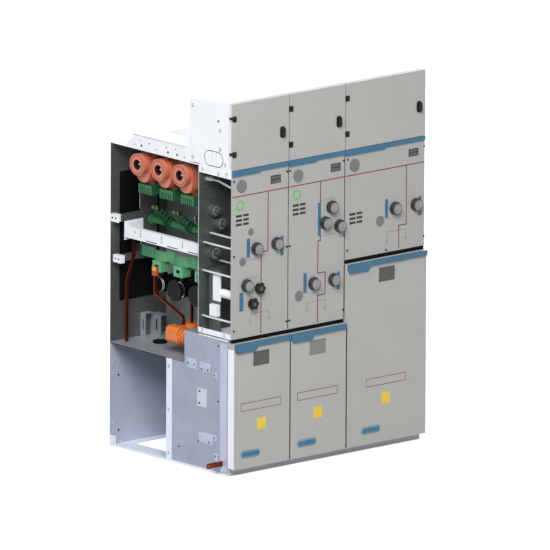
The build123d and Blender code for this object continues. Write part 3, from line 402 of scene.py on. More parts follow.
def pill(name, r, proud, low, high, across, face, axis="-Y"):
    """A thin plate with round ends: a disc of radius r whose far half is moved, with a fine chamfer."""
    way = 0 if axis == "-Y" else 1
    start = (face, low + r, across) if way else (low + r, face, across)
    obj = turned(name, [(r, -0.3), (r, proud - 0.3), (r - 0.3, proud)], start, axis)
    choose(obj)
    bpy.context.tool_settings.mesh_select_mode = (True, False, False)
    for part in (*obj.data.polygons, *obj.data.edges):
        part.select = False
    for vertex in obj.data.vertices:
        vertex.select = place(vertex.co)[way] > low + r + 0.01
    bpy.ops.object.mode_set(mode="EDIT")
    shift = [0, 0, 0]
    shift[way] = (high - low - 2 * r) / METRE
    bpy.ops.transform.translate(value=shift)
    bpy.ops.object.mode_set(mode="OBJECT")
    return obj


def copies(first, spots):
    """Copies of a piece at (x, z) spots in millimetres, each with its own mesh."""
    made = []
    for x, z in spots:
        twin = first.copy()
        twin.data = first.data.copy()
        bpy.context.scene.collection.objects.link(twin)
        twin.data.transform(Matrix.Translation(Vector((x, 0, z)) / METRE))
        made.append(twin)
    return made


def joined(name, parts):
    """The parts as one piece."""
    deselect()
    for part in parts:
        part.select_set(True)
    bpy.context.view_layer.objects.active = parts[0]
    if len(parts) > 1:
        bpy.ops.object.join()
    obj = bpy.context.object
    obj.name = obj.data.name = name
    return obj


def line(name, points, width, proud=0.6, face=PANEL_FACE):
    """A printed line on a front face, in upright and level runs between (x, z) points."""
    half = width / 2
    parts = []
    for a, b in zip(points, points[1:]):
        x = (min(a[0], b[0]) - half, max(a[0], b[0]) + half)
        z = (min(a[1], b[1]) - half, max(a[1], b[1]) + half)
        parts.append(front_plate("run", x, z, face, proud, 0.15))
    return joined(name, parts)


def dress(obj, look, slot=None, body="cabinet"):
    """Gives a piece its finish and the body that carries it."""
    slot = slot or SLOT_OF[look]
    obj.data.materials.clear()
    obj.data.materials.append(FINISHES[look])
    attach(obj, body)
    return obj


def group(name, parts, look):
    """Joins like parts into one dressed piece."""
    return dress(joined(name, parts), look)


# Sizes and colours a user would change


class CoatColours(bpy.types.PropertyGroup):
    """Colours of the coats that most orders change."""

    door_coat: StringProperty(
        name="Door coat", description="Doors' sRGB colour, six hex digits", default="B0B0AD")
    panel_coat: StringProperty(
        name="Panel coat", description="Control panels' sRGB colour, six hex digits", default="ADADAA")


class FrontSizes(bpy.types.PropertyGroup):
    """Sizes of the markings and small parts on the front."""

    bus_width: FloatProperty(name="Mimic line", description="Width of the red line, mm", default=6.0, min=1)
    thin_width: FloatProperty(name="Symbol line", description="Width of thin lines, mm", default=2.2, min=0.5)
    plate_thick: FloatProperty(name="Blue plate", description="Its thickness, mm", default=1.6, min=0.3)
    screw_radius: FloatProperty(name="Screw", description="Radius of its head, mm", default=6.0, min=1)
    disc_radius: FloatProperty(name="Socket disc", description="Radius, mm", default=28.0, min=5)


class StageSizes(bpy.types.PropertyGroup):
    """The camera and the light."""

    frame_width: FloatProperty(
        name="Frame", description="Width of the picture at the cabinet", default=3.0914, unit="LENGTH")
    lens: FloatProperty(name="Lens", description="Focal length, mm", default=1500.0, unit="CAMERA")
    key: FloatProperty(name="Key", description="Left lamp's power", default=3650.0, min=0, unit="POWER")
    fill: FloatProperty(name="Fill", description="Right lamp's power", default=420.0, min=0, unit="POWER")
    air: FloatProperty(name="Air", description="Strength of the even light", default=0.165, min=0)


# Front markings, in millimetres across and up

BUS_Z = 1607
BUS_RUNS = ((6, 413), (427, 834), (848, 1435))
DROPS = (
    ((270, BUS_Z), (270, 1266), (220.5, 1266), (220.5, 801)),
    ((660, BUS_Z), (660, 1266), (642.5, 1266), (642.5, 1081), (697.5, 1081), (697.5, 954), (642.5, 954),
     (642.5, 802)),
    ((1302, BUS_Z), (1302, 1268), (1247, 1268), (1247, 1139)),
)
# Each symbol has an upper level line and an earth sign under each end: left, right, level and foot.
SYMBOLS = ((141, 278, 922, 880), (564, 698, 922, 880), (1161, 1300, 1240, 1190))
# An earth sign's level strokes: how far below the foot, and half the width.
EARTH_STROKES = ((0, 11), (8, 7), (16, 3))
# Thinner lines, with the share of the symbols' width that they have
OUTLINE_SHARE = 0.8
OUTLINES = (
    ((88, 1128), (220, 1128)),
    ((112, 1240), (112, 1234), (181, 1234)),
    ((652, 1494), (757, 1494), (757, 1400)),
    ((652, 1290), (790, 1290)),
    ((1154, 1318), (1213, 1318)),
    ((548, 978), (607, 978)),
)
# Left, right, foot and top of each plate and grid
BLUE_PLATES = (
    ((112, 136, 1246, 1355), (363, 385, 1225, 1334), (60, 89, 946, 1053)),
    ((641, 663, 1294, 1486), (536, 559, 983, 1095), (787, 807, 966, 1068)),
    ((1143, 1165, 1324, 1432), (1393, 1416, 1305, 1413)),
)
GRIDS = ((288, 363, 1644, 1691), (736, 809, 1647, 1694), (1318, 1392, 1651, 1695))
GRID_COLUMNS = 6
# An indicator bar's start and width as shares of a column, its foot, and how much less than a row it has
BAR_START, BAR_WIDE, BAR_FOOT, BAR_LESS = 0.75, 0.5, 5, 9
BAR_DEEP = (PANEL_FACE - 1.8, PANEL_FACE - 1)
# The blue plates' field: how far in from the edge and how deep, in metres
FIELD = {"thickness": 0.0028, "depth": -0.0005}
GREEN_MARKS = ((62, 1552), (485, 1554), None)
TEXT_BLOCKS = ((81, 1467), (503, 1467), (927, 1355))
# A text block is rows of plain bars: each row's top, its height, and each bar's left and right.
TEXT_TOPS, TEXT_TALL, TEXT_BARS = (34, 9, -16), 14, ((-50, -4), (4, 46))
# Centre and radius of each round cover
DISCS = (((142, 1392, 20), (83, 1228, 24)), ((502, 971, 30),), ((1106, 1313, 30),))
SCREWS = (
    ((15, 1696), (18, 1266), (19, 839), (409, 1699), (409, 1268), (409, 840)),
    ((431, 1699), (431, 1268), (431, 840), (837, 1269), (833, 843), (833, 1701)),
    ((862, 1701), (861, 1179), (1152, 1140), (1434, 1180), (1434, 1698)),
)


class CABINET_OT_finishes(bpy.types.Operator):
    """Makes every finish and gives each CAD node its own"""

    bl_idname = "cabinet.finishes"
    bl_label = "Finishes"

    def execute(self, context):
        FINISHES.update(make_finishes(context.scene.cabinet_coats))
        given = {node: name for name, nodes in NODE_FINISH.items() for node in nodes}
        for node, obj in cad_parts.items():
            obj.data.materials.clear()
            obj.data.materials.append(FINISHES[given[node]])
        return {"FINISHED"}


class CABINET_OT_mimic_lines(bpy.types.Operator):
    """Red mimic line of each bay, and the thin symbols under it"""

    bl_idname = "cabinet.mimic_lines"
    bl_label = "Mimic lines"

    def execute(self, context):
        sizes = context.scene.cabinet_front
        for i, drop, run, symbol in zip(BAYS, DROPS, BUS_RUNS, SYMBOLS):
            level = [(x, BUS_Z) for x in run]
            dress(line(f"bus_line_{i}", level, sizes.bus_width, 0.7), "red_print")
            dress(line(f"drop_line_{i}", drop, sizes.bus_width), "maroon_print")
            left, right, top, foot = symbol
            runs = [[(left, foot), (left, top), (right, top), (right, foot)]]
            runs += [[(x - half, foot - low), (x + half, foot - low)] for x in (left, right)
                     for low, half in EARTH_STROKES]
            parts = [line("symbol", points, sizes.thin_width, 0.4) for points in runs]
            group(f"earth_symbols_{i}", parts, "brown_print")
        parts = [line("outline", points, sizes.thin_width * OUTLINE_SHARE, 0.3) for points in OUTLINES]
        group("thin_outlines", parts, "brown_print")
        return {"FINISHED"}


class CABINET_OT_front_plates(bpy.types.Operator):
    """Blue plates, indicator grids, round covers and plain marks on the front panels"""

    bl_idname = "cabinet.front_plates"
    bl_label = "Front plates"

    def execute(self, context):
        thick = context.scene.cabinet_front.plate_thick
        for i in BAYS:
            self.blue_plates(i, thick)
            self.indicators(i)
            self.text_block(i)
            self.round_marks(i)
        return {"FINISHED"}

    def blue_plates(self, i, thick):
        """Blue plates of one bay, each with a sunk field."""
        parts = []
        for x0, x1, z0, z1 in BLUE_PLATES[i - 1]:
            part = front_plate("blue", (x0, x1), (z0, z1), PANEL_FACE, thick, 0.6, 0.2, 2)
            edit(part, lambda centre, normal: normal.y < -0.9)
            bpy.ops.mesh.inset(**FIELD)
            parts.append(done(part))
        group(f"blue_plates_{i}", parts, "blue_moulded_trim")

    def indicators(self, i):
        """A dark grid with two rows of grey bars."""
        x0, x1, z0, z1 = GRIDS[i - 1]
        grid = front_plate(f"indicator_grid_{i}", (x0, x1), (z0, z1), PANEL_FACE, 1.2, 0.5, 0.2)
        dress(grid, "black_print", "black_plastic")
        step, tall = (x1 - x0) / (GRID_COLUMNS + 1), (z1 - z0) / 2
        bars = []
        for n in range(GRID_COLUMNS):
            left = x0 + step * (BAR_START + n)
            for row in (0, 1):
                low = z0 + BAR_FOOT + row * (tall - 2)
                wide, high = (left, left + step * BAR_WIDE), (low, low + tall - BAR_LESS)
                bars.append(plate("bar", wide, BAR_DEEP, high, 0.2))
        group(f"indicator_bars_{i}", bars, "grey_ceramic")

    def text_block(self, i):
        """Rows of plain bars in place of a printed text."""
        x, z = TEXT_BLOCKS[i - 1]
        bars = []
        for top in TEXT_TOPS:
            for x0, x1 in TEXT_BARS:
                wide, high = (x + x0, x + x1), (z + top - TEXT_TALL, z + top)
                bars.append(front_plate("row", wide, high, PANEL_FACE, 0.4, 0.15, 0.2))
        group(f"plain_bars_{i}", bars, "black_print")

    def round_marks(self, i):
        """The green ring, where the bay has one, and the round covers."""
        if GREEN_MARKS[i - 1]:
            x, z = GREEN_MARKS[i - 1]
            section = [(30, 0.2), (30, -0.4), (20, -0.4), (20, 0.2)]
            dress(turned(f"green_ring_{i}", section, (x, PANEL_FACE, z), "Y", 40), "green_print")
        covers = [turned("cover", [(r, -0.3), (r, 2.2), (r - 3, 3), (r - 5, 2), (r - 7, 2)],
                         (x, PANEL_FACE, z)) for x, z, r in DISCS[i - 1]]
        group(f"round_covers_{i}", covers, "grey_ceramic")


class CABINET_OT_screws(bpy.types.Operator):
    """Black screws of the front panels"""

    bl_idname = "cabinet.screws"
    bl_label = "Panel screws"

    def execute(self, context):
        r = context.scene.cabinet_front.screw_radius
        section = [(r, -0.5), (r, 2.6), (r - 1.2, 3.8), (r * 0.45, 3.8), (r * 0.4, 2.4)]
        head = turned("screw", section, (0, PANEL_FACE, 0), sides=20)
        for i, spots in zip(BAYS, SCREWS):
            group(f"panel_screws_{i}", copies(head, spots), "black_nylon")
        bpy.data.objects.remove(head)
        return {"FINISHED"}


# Upright seals: place across, face, foot, top and half width. Level black strips in the gaps under the
# panels, which paint the shadow there: left, right, foot and top.
SEALS = ((420, DOOR_FACE, 50, 736, 3.4), (840, DOOR_FACE, 50, 736, 3.4), (840, PANEL_FACE, 795, 1100, 3.4),
         (420, PANEL_FACE, 795, 1720, 2.4), (840, PANEL_FACE, 1130, 1720, 2.4))
GAP_SHADOW_STRIPS = ((4, 836, 769, 790), (846, 1436, 1104, 1125))


class CABINET_OT_seals(bpy.types.Operator):
    """Black seals in the joints between the bays, and black strips under the panels that paint the shadow in
    the gap there
    """

    bl_idname = "cabinet.seals"
    bl_label = "Joint seals"

    def execute(self, context):
        strips = [plate("seal", (x - half, x + half), (face - 0.3, face + 4), (low, high), 0.2)
                  for x, face, low, high, half in SEALS]
        strips += [plate("seal", (left, right), (PANEL_FACE + 1, PANEL_FACE + 5), (low, high), 0.2)
                   for left, right, low, high in GAP_SHADOW_STRIPS]
        group("joint_seals_and_gap_shadow", strips, "black_rubber_and_shade")
        return {"FINISHED"}


SOCKET_SPOTS = ((181, 1290), (331, 1298), (109, 1089), (740, 1448), (691, 1364), (798, 1331), (607, 1028),
                (757, 1029), (1213, 1372), (1370, 1371))
KNOB_SPOTS = ((200, 1062), (151, 980))
LUG_ANGLES = (20, 110, 200, 290)


class CABINET_OT_sockets(bpy.types.Operator):
    """Pale discs, collars and lugs of the operating sockets, and the knobs' caps"""

    bl_idname = "cabinet.sockets"
    bl_label = "Sockets and knobs"

    def execute(self, context):
        r = context.scene.cabinet_front.disc_radius
        front = limits("operating_sockets")[0].y
        section = [(r, -5), (r, 1.2), (r - 2, 2.6), (r - 5, 2.6), (r - 6, 2.0)]
        disc = turned("disc", section, (0, front, 0), sides=36)
        section = [(r + 9, -1), (r + 9, 3), (r + 7, 4), (r + 7, 9), (r + 4, 10)]
        collar = turned("collar", section, (0, PANEL_FACE, 0), sides=36)
        deep = (front + 4, front + (PANEL_FACE - front) * 0.6)
        lugs = []
        for angle in LUG_ANGLES:
            lug = plate("lug", (-7, 7), deep, (r + 2, r + 9), 1.5, 2)
            turn = Matrix.Rotation(math.radians(angle), 4, "Y")
            lug.data.transform(Matrix.Translation(CORNER) @ turn @ Matrix.Translation(-CORNER))
            lugs.append(lug)
        lugs = joined("lugs", lugs)
        group("socket_discs", copies(disc, SOCKET_SPOTS), "satin_nickel")
        group("socket_collars", copies(collar, SOCKET_SPOTS), "dark_zinc_nickel_and_shade")
        group("socket_lugs", copies(lugs, SOCKET_SPOTS), "dark_zinc_nickel_and_shade")
        section = [(13, -1), (13, 1.5), (11, 2.6), (5, 2.6), (5, 1.4)]
        cap = turned("cap", section, (0, limits("star_knobs")[0].y, 0), sides=24)
        group("knob_caps", copies(cap, KNOB_SPOTS), "dark_zinc_nickel_and_shade")
        for spare in (disc, collar, lugs, cap):
            bpy.data.objects.remove(spare)
        return {"FINISHED"}


# Each cable door's left edge, and how far its yellow plate and its badge stand from their usual place
DOORS = ((0, (0, 0), 0), (420, (0, 0), 0), (932, (-3, 8), -34))
# Left, right, foot and top of the red frame and of the badge, from the door's left edge
RED_FRAME, RED_WIDTH = (56, 352, 376, 420), 3.5
BADGE = (54, 198, 104, 147)
# Centre and half the side
YELLOW_PLATE = (208, 288, 33)
# The badge's layers: name, how much it outgrows the badge, how far it stands out, finish
BADGE_LAYERS = (("badge", 0, 1.2, "blue_moulded_trim"), ("badge_face", -4, 1.8, "pale_blue_trim"),
                ("badge_field", -6.5, 2.2, "blue_moulded_trim"))
CLOUDED_PANE = ((567, 683), (DOOR_FACE + 1.5, DOOR_FACE + 2.2), (624, 706))


class CABINET_OT_door_plates(bpy.types.Operator):
    """Blank plates on the cable doors: a red frame, a yellow plate and a blue badge"""

    bl_idname = "cabinet.door_plates"
    bl_label = "Door plates"

    def execute(self, context):
        for i, (left, (across, up), badge_shift) in zip(BAYS, DOORS):
            x0, x1, z0, z1 = RED_FRAME
            corners = [(left + x, z) for x, z in ((x0, z0), (x1, z0), (x1, z1), (x0, z1), (x0, z0))]
            dress(line(f"red_frame_{i}", corners, RED_WIDTH, 0.5, DOOR_FACE), "red_print")
            x, z, half = YELLOW_PLATE
            x, z = left + x + across, z + up
            x, z = (x - half, x + half), (z - half, z + half)
            dress(front_plate(f"yellow_plate_{i}", x, z, DOOR_FACE, 0.6), "yellow_label")
            x0, x1, z0, z1 = BADGE
            x0, x1 = x0 + left + badge_shift, x1 + left + badge_shift
            for name, grow, proud, look in BADGE_LAYERS:
                r, middle = (z1 - z0) / 2 + grow, (z0 + z1) / 2
                badge = pill(f"{name}_{i}", r, proud, x0 - grow, x1 + grow, middle, DOOR_FACE)
                dress(badge, look)
        dress(plate("clouded_pane", *CLOUDED_PANE, 0.3), "clouded_acrylic")
        return {"FINISHED"}


# The left side, in millimetres back and up

LV_BOLTS = ((308, 2080), (306, 1785), (74, 1972), (73, 1864), (31, 1783))
ROOF_BOLTS = ((222, 1734), (85, 1724), (17, 1732))
DECK_BOLTS = ((217, 807), (31, 807))
POST_BOLTS = ((502, 548), (502, 298), (502, 50), (972, 25))
# Centre and radius of each hole
SIDE_HOLES = ((77, 738, 6), (77, 420, 6), (77, 102, 6), (411, 102, 6))
LV_HOLES = ((87, 2024, 7),)
DUCT_HOLES = ((740, 1774, 7), (672, 1797, 4), (616, 1772, 4), (514, 1773, 7), (450, 1802, 4), (437, 1772, 7),
              (373, 1769, 4), (800, 1772, 4), (757, 1800, 3), (527, 1800, 4))
# Centre, half the length and the radius of the cable entry, and its two seams
CABLE_ENTRY, ENTRY_SEAMS = (125, 1803, 80, 45), (-22, 12)
# Limits back and up of thin pieces on the side
LV_SEAM, SIDE_FOLD = ((3, 245), (1756.5, 1759)), ((4, 60), (20, 760))
CORNER_PLATE, LABEL = ((950, 1002), (4, 62)), ((175, 255), (365, 470))
DECK_SEAL, DOOR_EDGE = ((366, 1002), (594.5, 598)), ((DOOR_FACE + 2, -2), (50, 734))
# Limits across and up of the plinth's skirt, and its joints' places across
PLINTH_SKIRT, PLINTH_JOINTS = ((4, 1436), (3, 43)), (366, 414, 786, 834)
# Centre, width and height of each small plate
SIDE_PLATES = ((304, 600, 82, 58), (188, 597, 88, 54), (104, 566, 34, 30), (182, 190, 118, 64),
               (104, 205, 34, 34), (92, 96, 34, 44))
PLATE_SCREWS = [(y, z, 6) for y, z in ((333, 596), (282, 596), (218, 581), (166, 583), (110, 566),
                                       (242, 166), (152, 170), (108, 205), (96, 102))]
LABEL_SCREWS = ((236, 452, 7), (236, 384, 7))
# Centre across and up of each mark on the cable space's rear wall
WALL_HOLES = ((63, 398), (65, 79))
WALL_RIVETS = ((17, 480), (20, 129), (394, 130), (335, 18), (78, 17))


def left_of(node):
    """The place across of a node's leftmost face, in millimetres."""
    return limits(node)[0].x


def round_heads(name, face, spots, proud, look, chamfer=0.8):
    """Round heads of (y, z, radius) on a face that looks left."""
    parts = []
    for y, z, r in spots:
        section = [(r, -0.4), (r, proud - chamfer * proud * 0.4), (r - chamfer, proud)]
        parts.append(turned("head", section, (face, y, z), "-X", 20))
    return group(name, parts, look)


def holes(name, face, spots):
    """Dark round marks of (y, z, radius) for the holes in a face that looks left: painted shade where the
    holes are.
    """
    return round_heads(name, face, spots, 0.4, "black_rubber_and_shade", 0.2)


def bolts(washer_shade, heads, node, spots, washer_shade_r, head_r, proud):
    """Bright bolt heads on dark washer rings on a node's left face; the rings' dark also paints the shade
    round each head.
    """
    face = left_of(node)
    round_heads(washer_shade, face, [(y, z, washer_shade_r) for y, z in spots], 1.0, "dark_zinc_nickel_and_shade")
    round_heads(heads, face, [(y, z, head_r) for y, z in spots], proud, "bright_zinc_plate")


class CABINET_OT_side_fittings(bpy.types.Operator):
    """Bolts, holes, the cable entry and small plates of the left side"""

    bl_idname = "cabinet.side_fittings"
    bl_label = "Left side"

    def execute(self, context):
        bolts("lv_washer_shade", "lv_bolts", "lv_box_1", LV_BOLTS, 10, 7, 5.0)
        bolts("roof_washer_shade", "roof_bolts", "mechanism_roof", ROOF_BOLTS, 9.5, 7, 5.0)
        bolts("deck_washer_shade", "deck_bolts", "mechanism_floor", DECK_BOLTS, 9.5, 7, 5.0)
        holes("side_holes", left_of("side_panel"), SIDE_HOLES)
        holes("lv_hole", left_of("lv_box_1"), LV_HOLES)
        holes("duct_holes", left_of("roof_duct"), DUCT_HOLES)
        bolts("post_washer_shade", "post_bolts", "base_frame", POST_BOLTS, 9.5, 6.5, 4.0)
        self.cable_entry(left_of("lv_box_1"))
        self.plates(left_of("side_panel"))
        self.edges()
        self.plinth()
        self.rear_wall(limits("cable_rear_wall")[0].y)
        face = left_of("side_panel")
        round_heads("plate_screws", face - 2, PLATE_SCREWS, 1.6, "dark_zinc_nickel_and_shade")
        round_heads("label_screws", face - 0.8, LABEL_SCREWS, 1.4, "dark_zinc_nickel_and_shade")
        return {"FINISHED"}

    def cable_entry(self, face):
        """The cable entry's cover with its rim and seams, and the box's lower seam."""
        y, z, half, r = CABLE_ENTRY
        dress(pill("entry_rim", r, 0.6, y - half, y + half, z, face, "-X"), "black_rubber_and_shade")
        r, half = r - 4, half - 4
        dress(pill("entry_cover", r, 1.2, y - half, y + half, z, face, "-X"), "white_powder_coat")
        seams = [side_plate("seam", (y + shift - 0.8, y + shift + 0.8), (z - r, z + r), face, 1.6, 0.2, 0)
                 for shift in ENTRY_SEAMS]
        group("entry_seams", seams, "shaded_zinc_sheet")
        dress(side_plate("lv_seam", *LV_SEAM, face, 0.4, 0.1), "shaded_zinc_sheet")

    def plates(self, face):
        """Small plates, fold, corner plate and blank label of the side panel. The fold's paler band is
        painted light.
        """
        parts = []
        for y, z, wide, tall in SIDE_PLATES:
            span, rise = (y - wide / 2, y + wide / 2), (z - tall / 2, z + tall / 2)
            parts.append(side_plate("small_plate", span, rise, face, 2, 0.6, steps=2))
        group("side_plates", parts, "pale_zinc_plate")
        # A paler band where the joggled sheet meets the lamp more squarely: painted light.
        dress(side_plate("side_fold", *SIDE_FOLD, face, 0.7), "pale_zinc_plate")
        dress(side_plate("corner_plate", *CORNER_PLATE, face, 1), "new_galvanised_and_edge_highlight")
        dress(side_plate("blank_side_label", *LABEL, face, 0.8), "pale_label")

    def edges(self):
        """The first door's folded edge, white as painted light; the deck's seal; and the roof duct's upper
        fold, grey as painted shade.
        """
        # The door's left face takes the boxes' white in place of the door's grey: painted light.
        dress(side_plate("door_edge", *DOOR_EDGE, left_of("cable_door_1"), 0.7), "white_powder_coat")
        dress(side_plate("deck_edge_seal", *DECK_SEAL, left_of("tank_floor"), 0.4, 0.2), "black_rubber_and_shade")
        low, high = limits("roof_duct")
        # The fold is grey against the white duct: painted shade.
        top = plate("duct_top_fold", (low.x + 0.2, low.x + 30), (low.y + 45, high.y - 45),
                    (high.z - 1.2, high.z - 0.2), 0.2)
        dress(top, "shaded_zinc_sheet")

    def plinth(self):
        """The plinth's front skirt and its joints."""
        front = limits("base_frame")[0].y
        dress(front_plate("plinth_skirt", *PLINTH_SKIRT, front, 0.6), "plinth_zinc_sheet")
        joints = [front_plate("joint", (x - 1.2, x + 1.2), (4, 42), front, 0.9, 0.2, 0)
                  for x in PLINTH_JOINTS]
        group("plinth_joints", joints, "dark_zinc_nickel_and_shade")

    def rear_wall(self, face):
        """Round marks on the wall behind the cables: bright rivets, and dark holes of painted shade."""
        section = [(6, -0.4), (6, 0.4), (5.4, 0.8)]
        for name, look, spots in (("wall_holes", "black_rubber_and_shade", WALL_HOLES),
                                  ("wall_rivets", "bright_zinc_plate", WALL_RIVETS)):
            group(name, [turned("round", section, (x, face, z), sides=16) for x, z in spots], look)


# The open tank: how far back the three phases are, and the heights of the bushings' and chambers' axes
PHASES = (417, 598, 779)
BUSHING_Z, CHAMBER_Z = 1657, 945
# How far the bushings' sockets reach in, less the dark mark at their bottom, which is painted shade
WELL_DEPTH = 23.5
# Sections of rings, as (radius, height)
# The face groove's dark ring and the bore's dark lining are painted shade.
FACE_GROOVE_SHADE = ((53.6, -2.4), (53.6, 0.2), (50.4, 0.2), (50.4, -2.4))
BORE_SHADE = ((29.8, -22), (29.8, -0.6), (27, -0.6), (27, -22))
SPRING = ((43, -1.5), (46, 0), (43, 1.5), (41, 0))
REAR_SPRING = ((41.5, -1.2), (43, 0), (41.5, 1.2), (40.5, 0))
# Places across of the rings on the chambers of the first two phases, and of the last
SPRING_X, REAR_SPRING_X = (142, 152, 164), (162, 171)
BEAM_HOLES = ((858, 1248), *[(y, z) for y in (810, 632, 453) for z in (1258, 1244, 1230)])
BEAM_SLOTS, BEAM_SLOT_Z = ((673, 762), (494, 583), (315, 404)), (1211, 1216)
LUG_HOLES = ((986, 1317), (960, 1317), (963, 1086), (934, 1086))
POLE_SLOT_Z, POLE_DOT_Z = (1046, 1060), 1031
WALL_EDGE_Z = (795, 1745)
# Bright edges of the switch frame: place across, foot and top
FRAME_EDGES = ((181, 1144, 1330), (173, 1351, 1439), (191, 1476, 1558))
# The drive's dials behind the first panel: place across, height and radius, and their face
DIALS, DIAL_FACE = ((102, 1475, 24), (149, 1394, 28), (102, 1232, 28)), 219
HUB = ((9, -1), (9, 12), (7, 14), (3, 14), (3, 11))
GROMMET = ((42, -1), (42, 6), (34, 10), (14, 10), (12, 7))
GROMMET_SPOT = (198, 803, 604)


class CABINET_OT_tank_fittings(bpy.types.Operator):
    """Small parts inside the open tank: pins, rings, holes, slots and the floor's grommet"""

    bl_idname = "cabinet.tank_fittings"
    bl_label = "Tank fittings"

    def execute(self, context):
        self.bushings(left_of("busbar_bushings"))
        self.beam(left_of("cross_beam"))
        holes("lug_holes", left_of("rear_lugs"), [(y, z, 5.5) for y, z in LUG_HOLES])
        self.chamber_rings()
        self.bright_edges()
        self.poles(left_of("pole_heads"))
        dials = [hoop("dial", [(r, -1), (r, 3), (r - 5, 3), (r - 5, -1)], (x, DIAL_FACE, z))
                 for x, z, r in DIALS]
        group("shaft_dials", dials, "shaded_zinc_sheet")
        hubs = [turned("hub", HUB, (x, DIAL_FACE, z)) for x, z, r in DIALS]
        group("shaft_hubs", hubs, "bright_zinc_plate")
        dress(turned("floor_grommet", GROMMET, GROMMET_SPOT, "Z"), "black_rubber_and_shade")
        return {"FINISHED"}

    def bushings(self, face):
        """Contact pins of the busbar bushings, and painted shade in their recesses: dark marks at the wells'
        bottoms, dark rings in the face grooves and dark linings in the bores.
        """
        well = face + WELL_DEPTH
        holes("bushing_well_shade", well, [(y, BUSHING_Z, 29.6) for y in PHASES])
        for name, section, sides in (("bushing_groove_shade", FACE_GROOVE_SHADE, 40), ("bushing_bore_shade", BORE_SHADE, 32)):
            rings = [hoop("ring", section, (face, y, BUSHING_Z), "-X", sides) for y in PHASES]
            group(name, rings, "bushing_recess_shade")
        round_heads("bushing_pins", well, [(y, BUSHING_Z, 8) for y in PHASES], 6.0, "silver_plate", 2)

    def beam(self, face):
        """Dark marks for the holes and slots of the cross beam: painted shade."""
        holes("beam_holes", face, [(y, z, 4) for y, z in BEAM_HOLES])
        slots = [side_plate("slot", span, BEAM_SLOT_Z, face, 0.4, 0.2) for span in BEAM_SLOTS]
        group("beam_slots", slots, "black_rubber_and_shade")

    def chamber_rings(self):
        """Silvered rings round the breaking chambers."""
        rings = [hoop("spring", SPRING, (x, y, CHAMBER_Z), "X", 28) for y in PHASES[:2] for x in SPRING_X]
        rings += [hoop("spring", REAR_SPRING, (x, PHASES[2], CHAMBER_Z), "X", 28) for x in REAR_SPRING_X]
        group("chamber_rings", rings, "silver_plate")

    def bright_edges(self):
        """Cut edges of the tank's front wall and of the switch frame, which catch the light."""
        wall = limits("tank_roof")[0]
        edges = [side_plate("wall_edge", (wall.y + 0.6, wall.y + 3.4), WALL_EDGE_Z, wall.x, 0.3, 0.1)]
        near = limits("switch_frame")[0].y
        edges += [side_plate("frame_edge", (near + 0.5, near + 3.5), (foot, top), x, 0.4, 0.1)
                  for x, foot, top in FRAME_EDGES]
        # These pale strips are painted highlights on the edges.
        group("bright_sheet_edges", edges, "new_galvanised_and_edge_highlight")

    def poles(self, face):
        """The pole cap's pale top, and dark marks for the slots and dots of the pole heads: painted shade."""
        low, high = limits("pole_cap")
        top = side_plate("cap_top_plate", (low.y + 1, high.y - 1), (low.z + 27, high.z - 1), low.x, 0.5, 0.2)
        dress(top, "turned_brass")
        slots = [side_plate("slot", (y - 15, y + 15), POLE_SLOT_Z, face, 0.4, 0.2) for y in PHASES]
        group("pole_slots", slots, "black_rubber_and_shade")
        holes("pole_dots", face, [(y + shift, POLE_DOT_Z, 3.5) for y in PHASES for shift in (-13, 13)])


# The stage. The camera's axes and aim come from a fit of the cabinet's corners to the photo.
CAMERA_RIGHT = Vector((0.75220919, -0.65890393, 0.00519001))
CAMERA_UP = Vector((0.14380469, 0.17184485, 0.97457147))
CAMERA_BACK = Vector((-0.64304085, -0.73233527, 0.22401675))
CAMERA_AIM = at(700, 450, 1000) + CAMERA_RIGHT * 0.03405 - CAMERA_UP * 0.02194
# How far before and behind the cabinet the camera sees, in metres
CLIP_NEAR, CLIP_FAR = 30, 60
# Place and size of each lamp, and the height that both look at, in metres
KEY_LAMP = ((-10.0, -9.4, 12.0), 9.0)
FILL_LAMP = ((8.0, 5.6, 6.4), 5.0)
LAMP_AIM = Vector((0, 0, 1))
# The floor lies a little under the plinth, and looks white without lighting the cabinet.
FLOOR_SIZE, FLOOR_DROP, FLOOR_GLOW, FLOOR_PAINT = 36, 0.0005, 0.86, "BEBEBE"


def seen(tree):
    """A node that is one for the rays that show a surface, and zero for the rays that light others."""
    path = add(tree, "LightPath")
    either = add(tree, "Math", {0: (path, "Is Camera Ray"), 1: (path, "Is Glossy Ray")}, operation="MAXIMUM")
    return add(tree, "Math", {0: (either, "Value"), 1: (path, "Is Transmission Ray")}, operation="MAXIMUM")


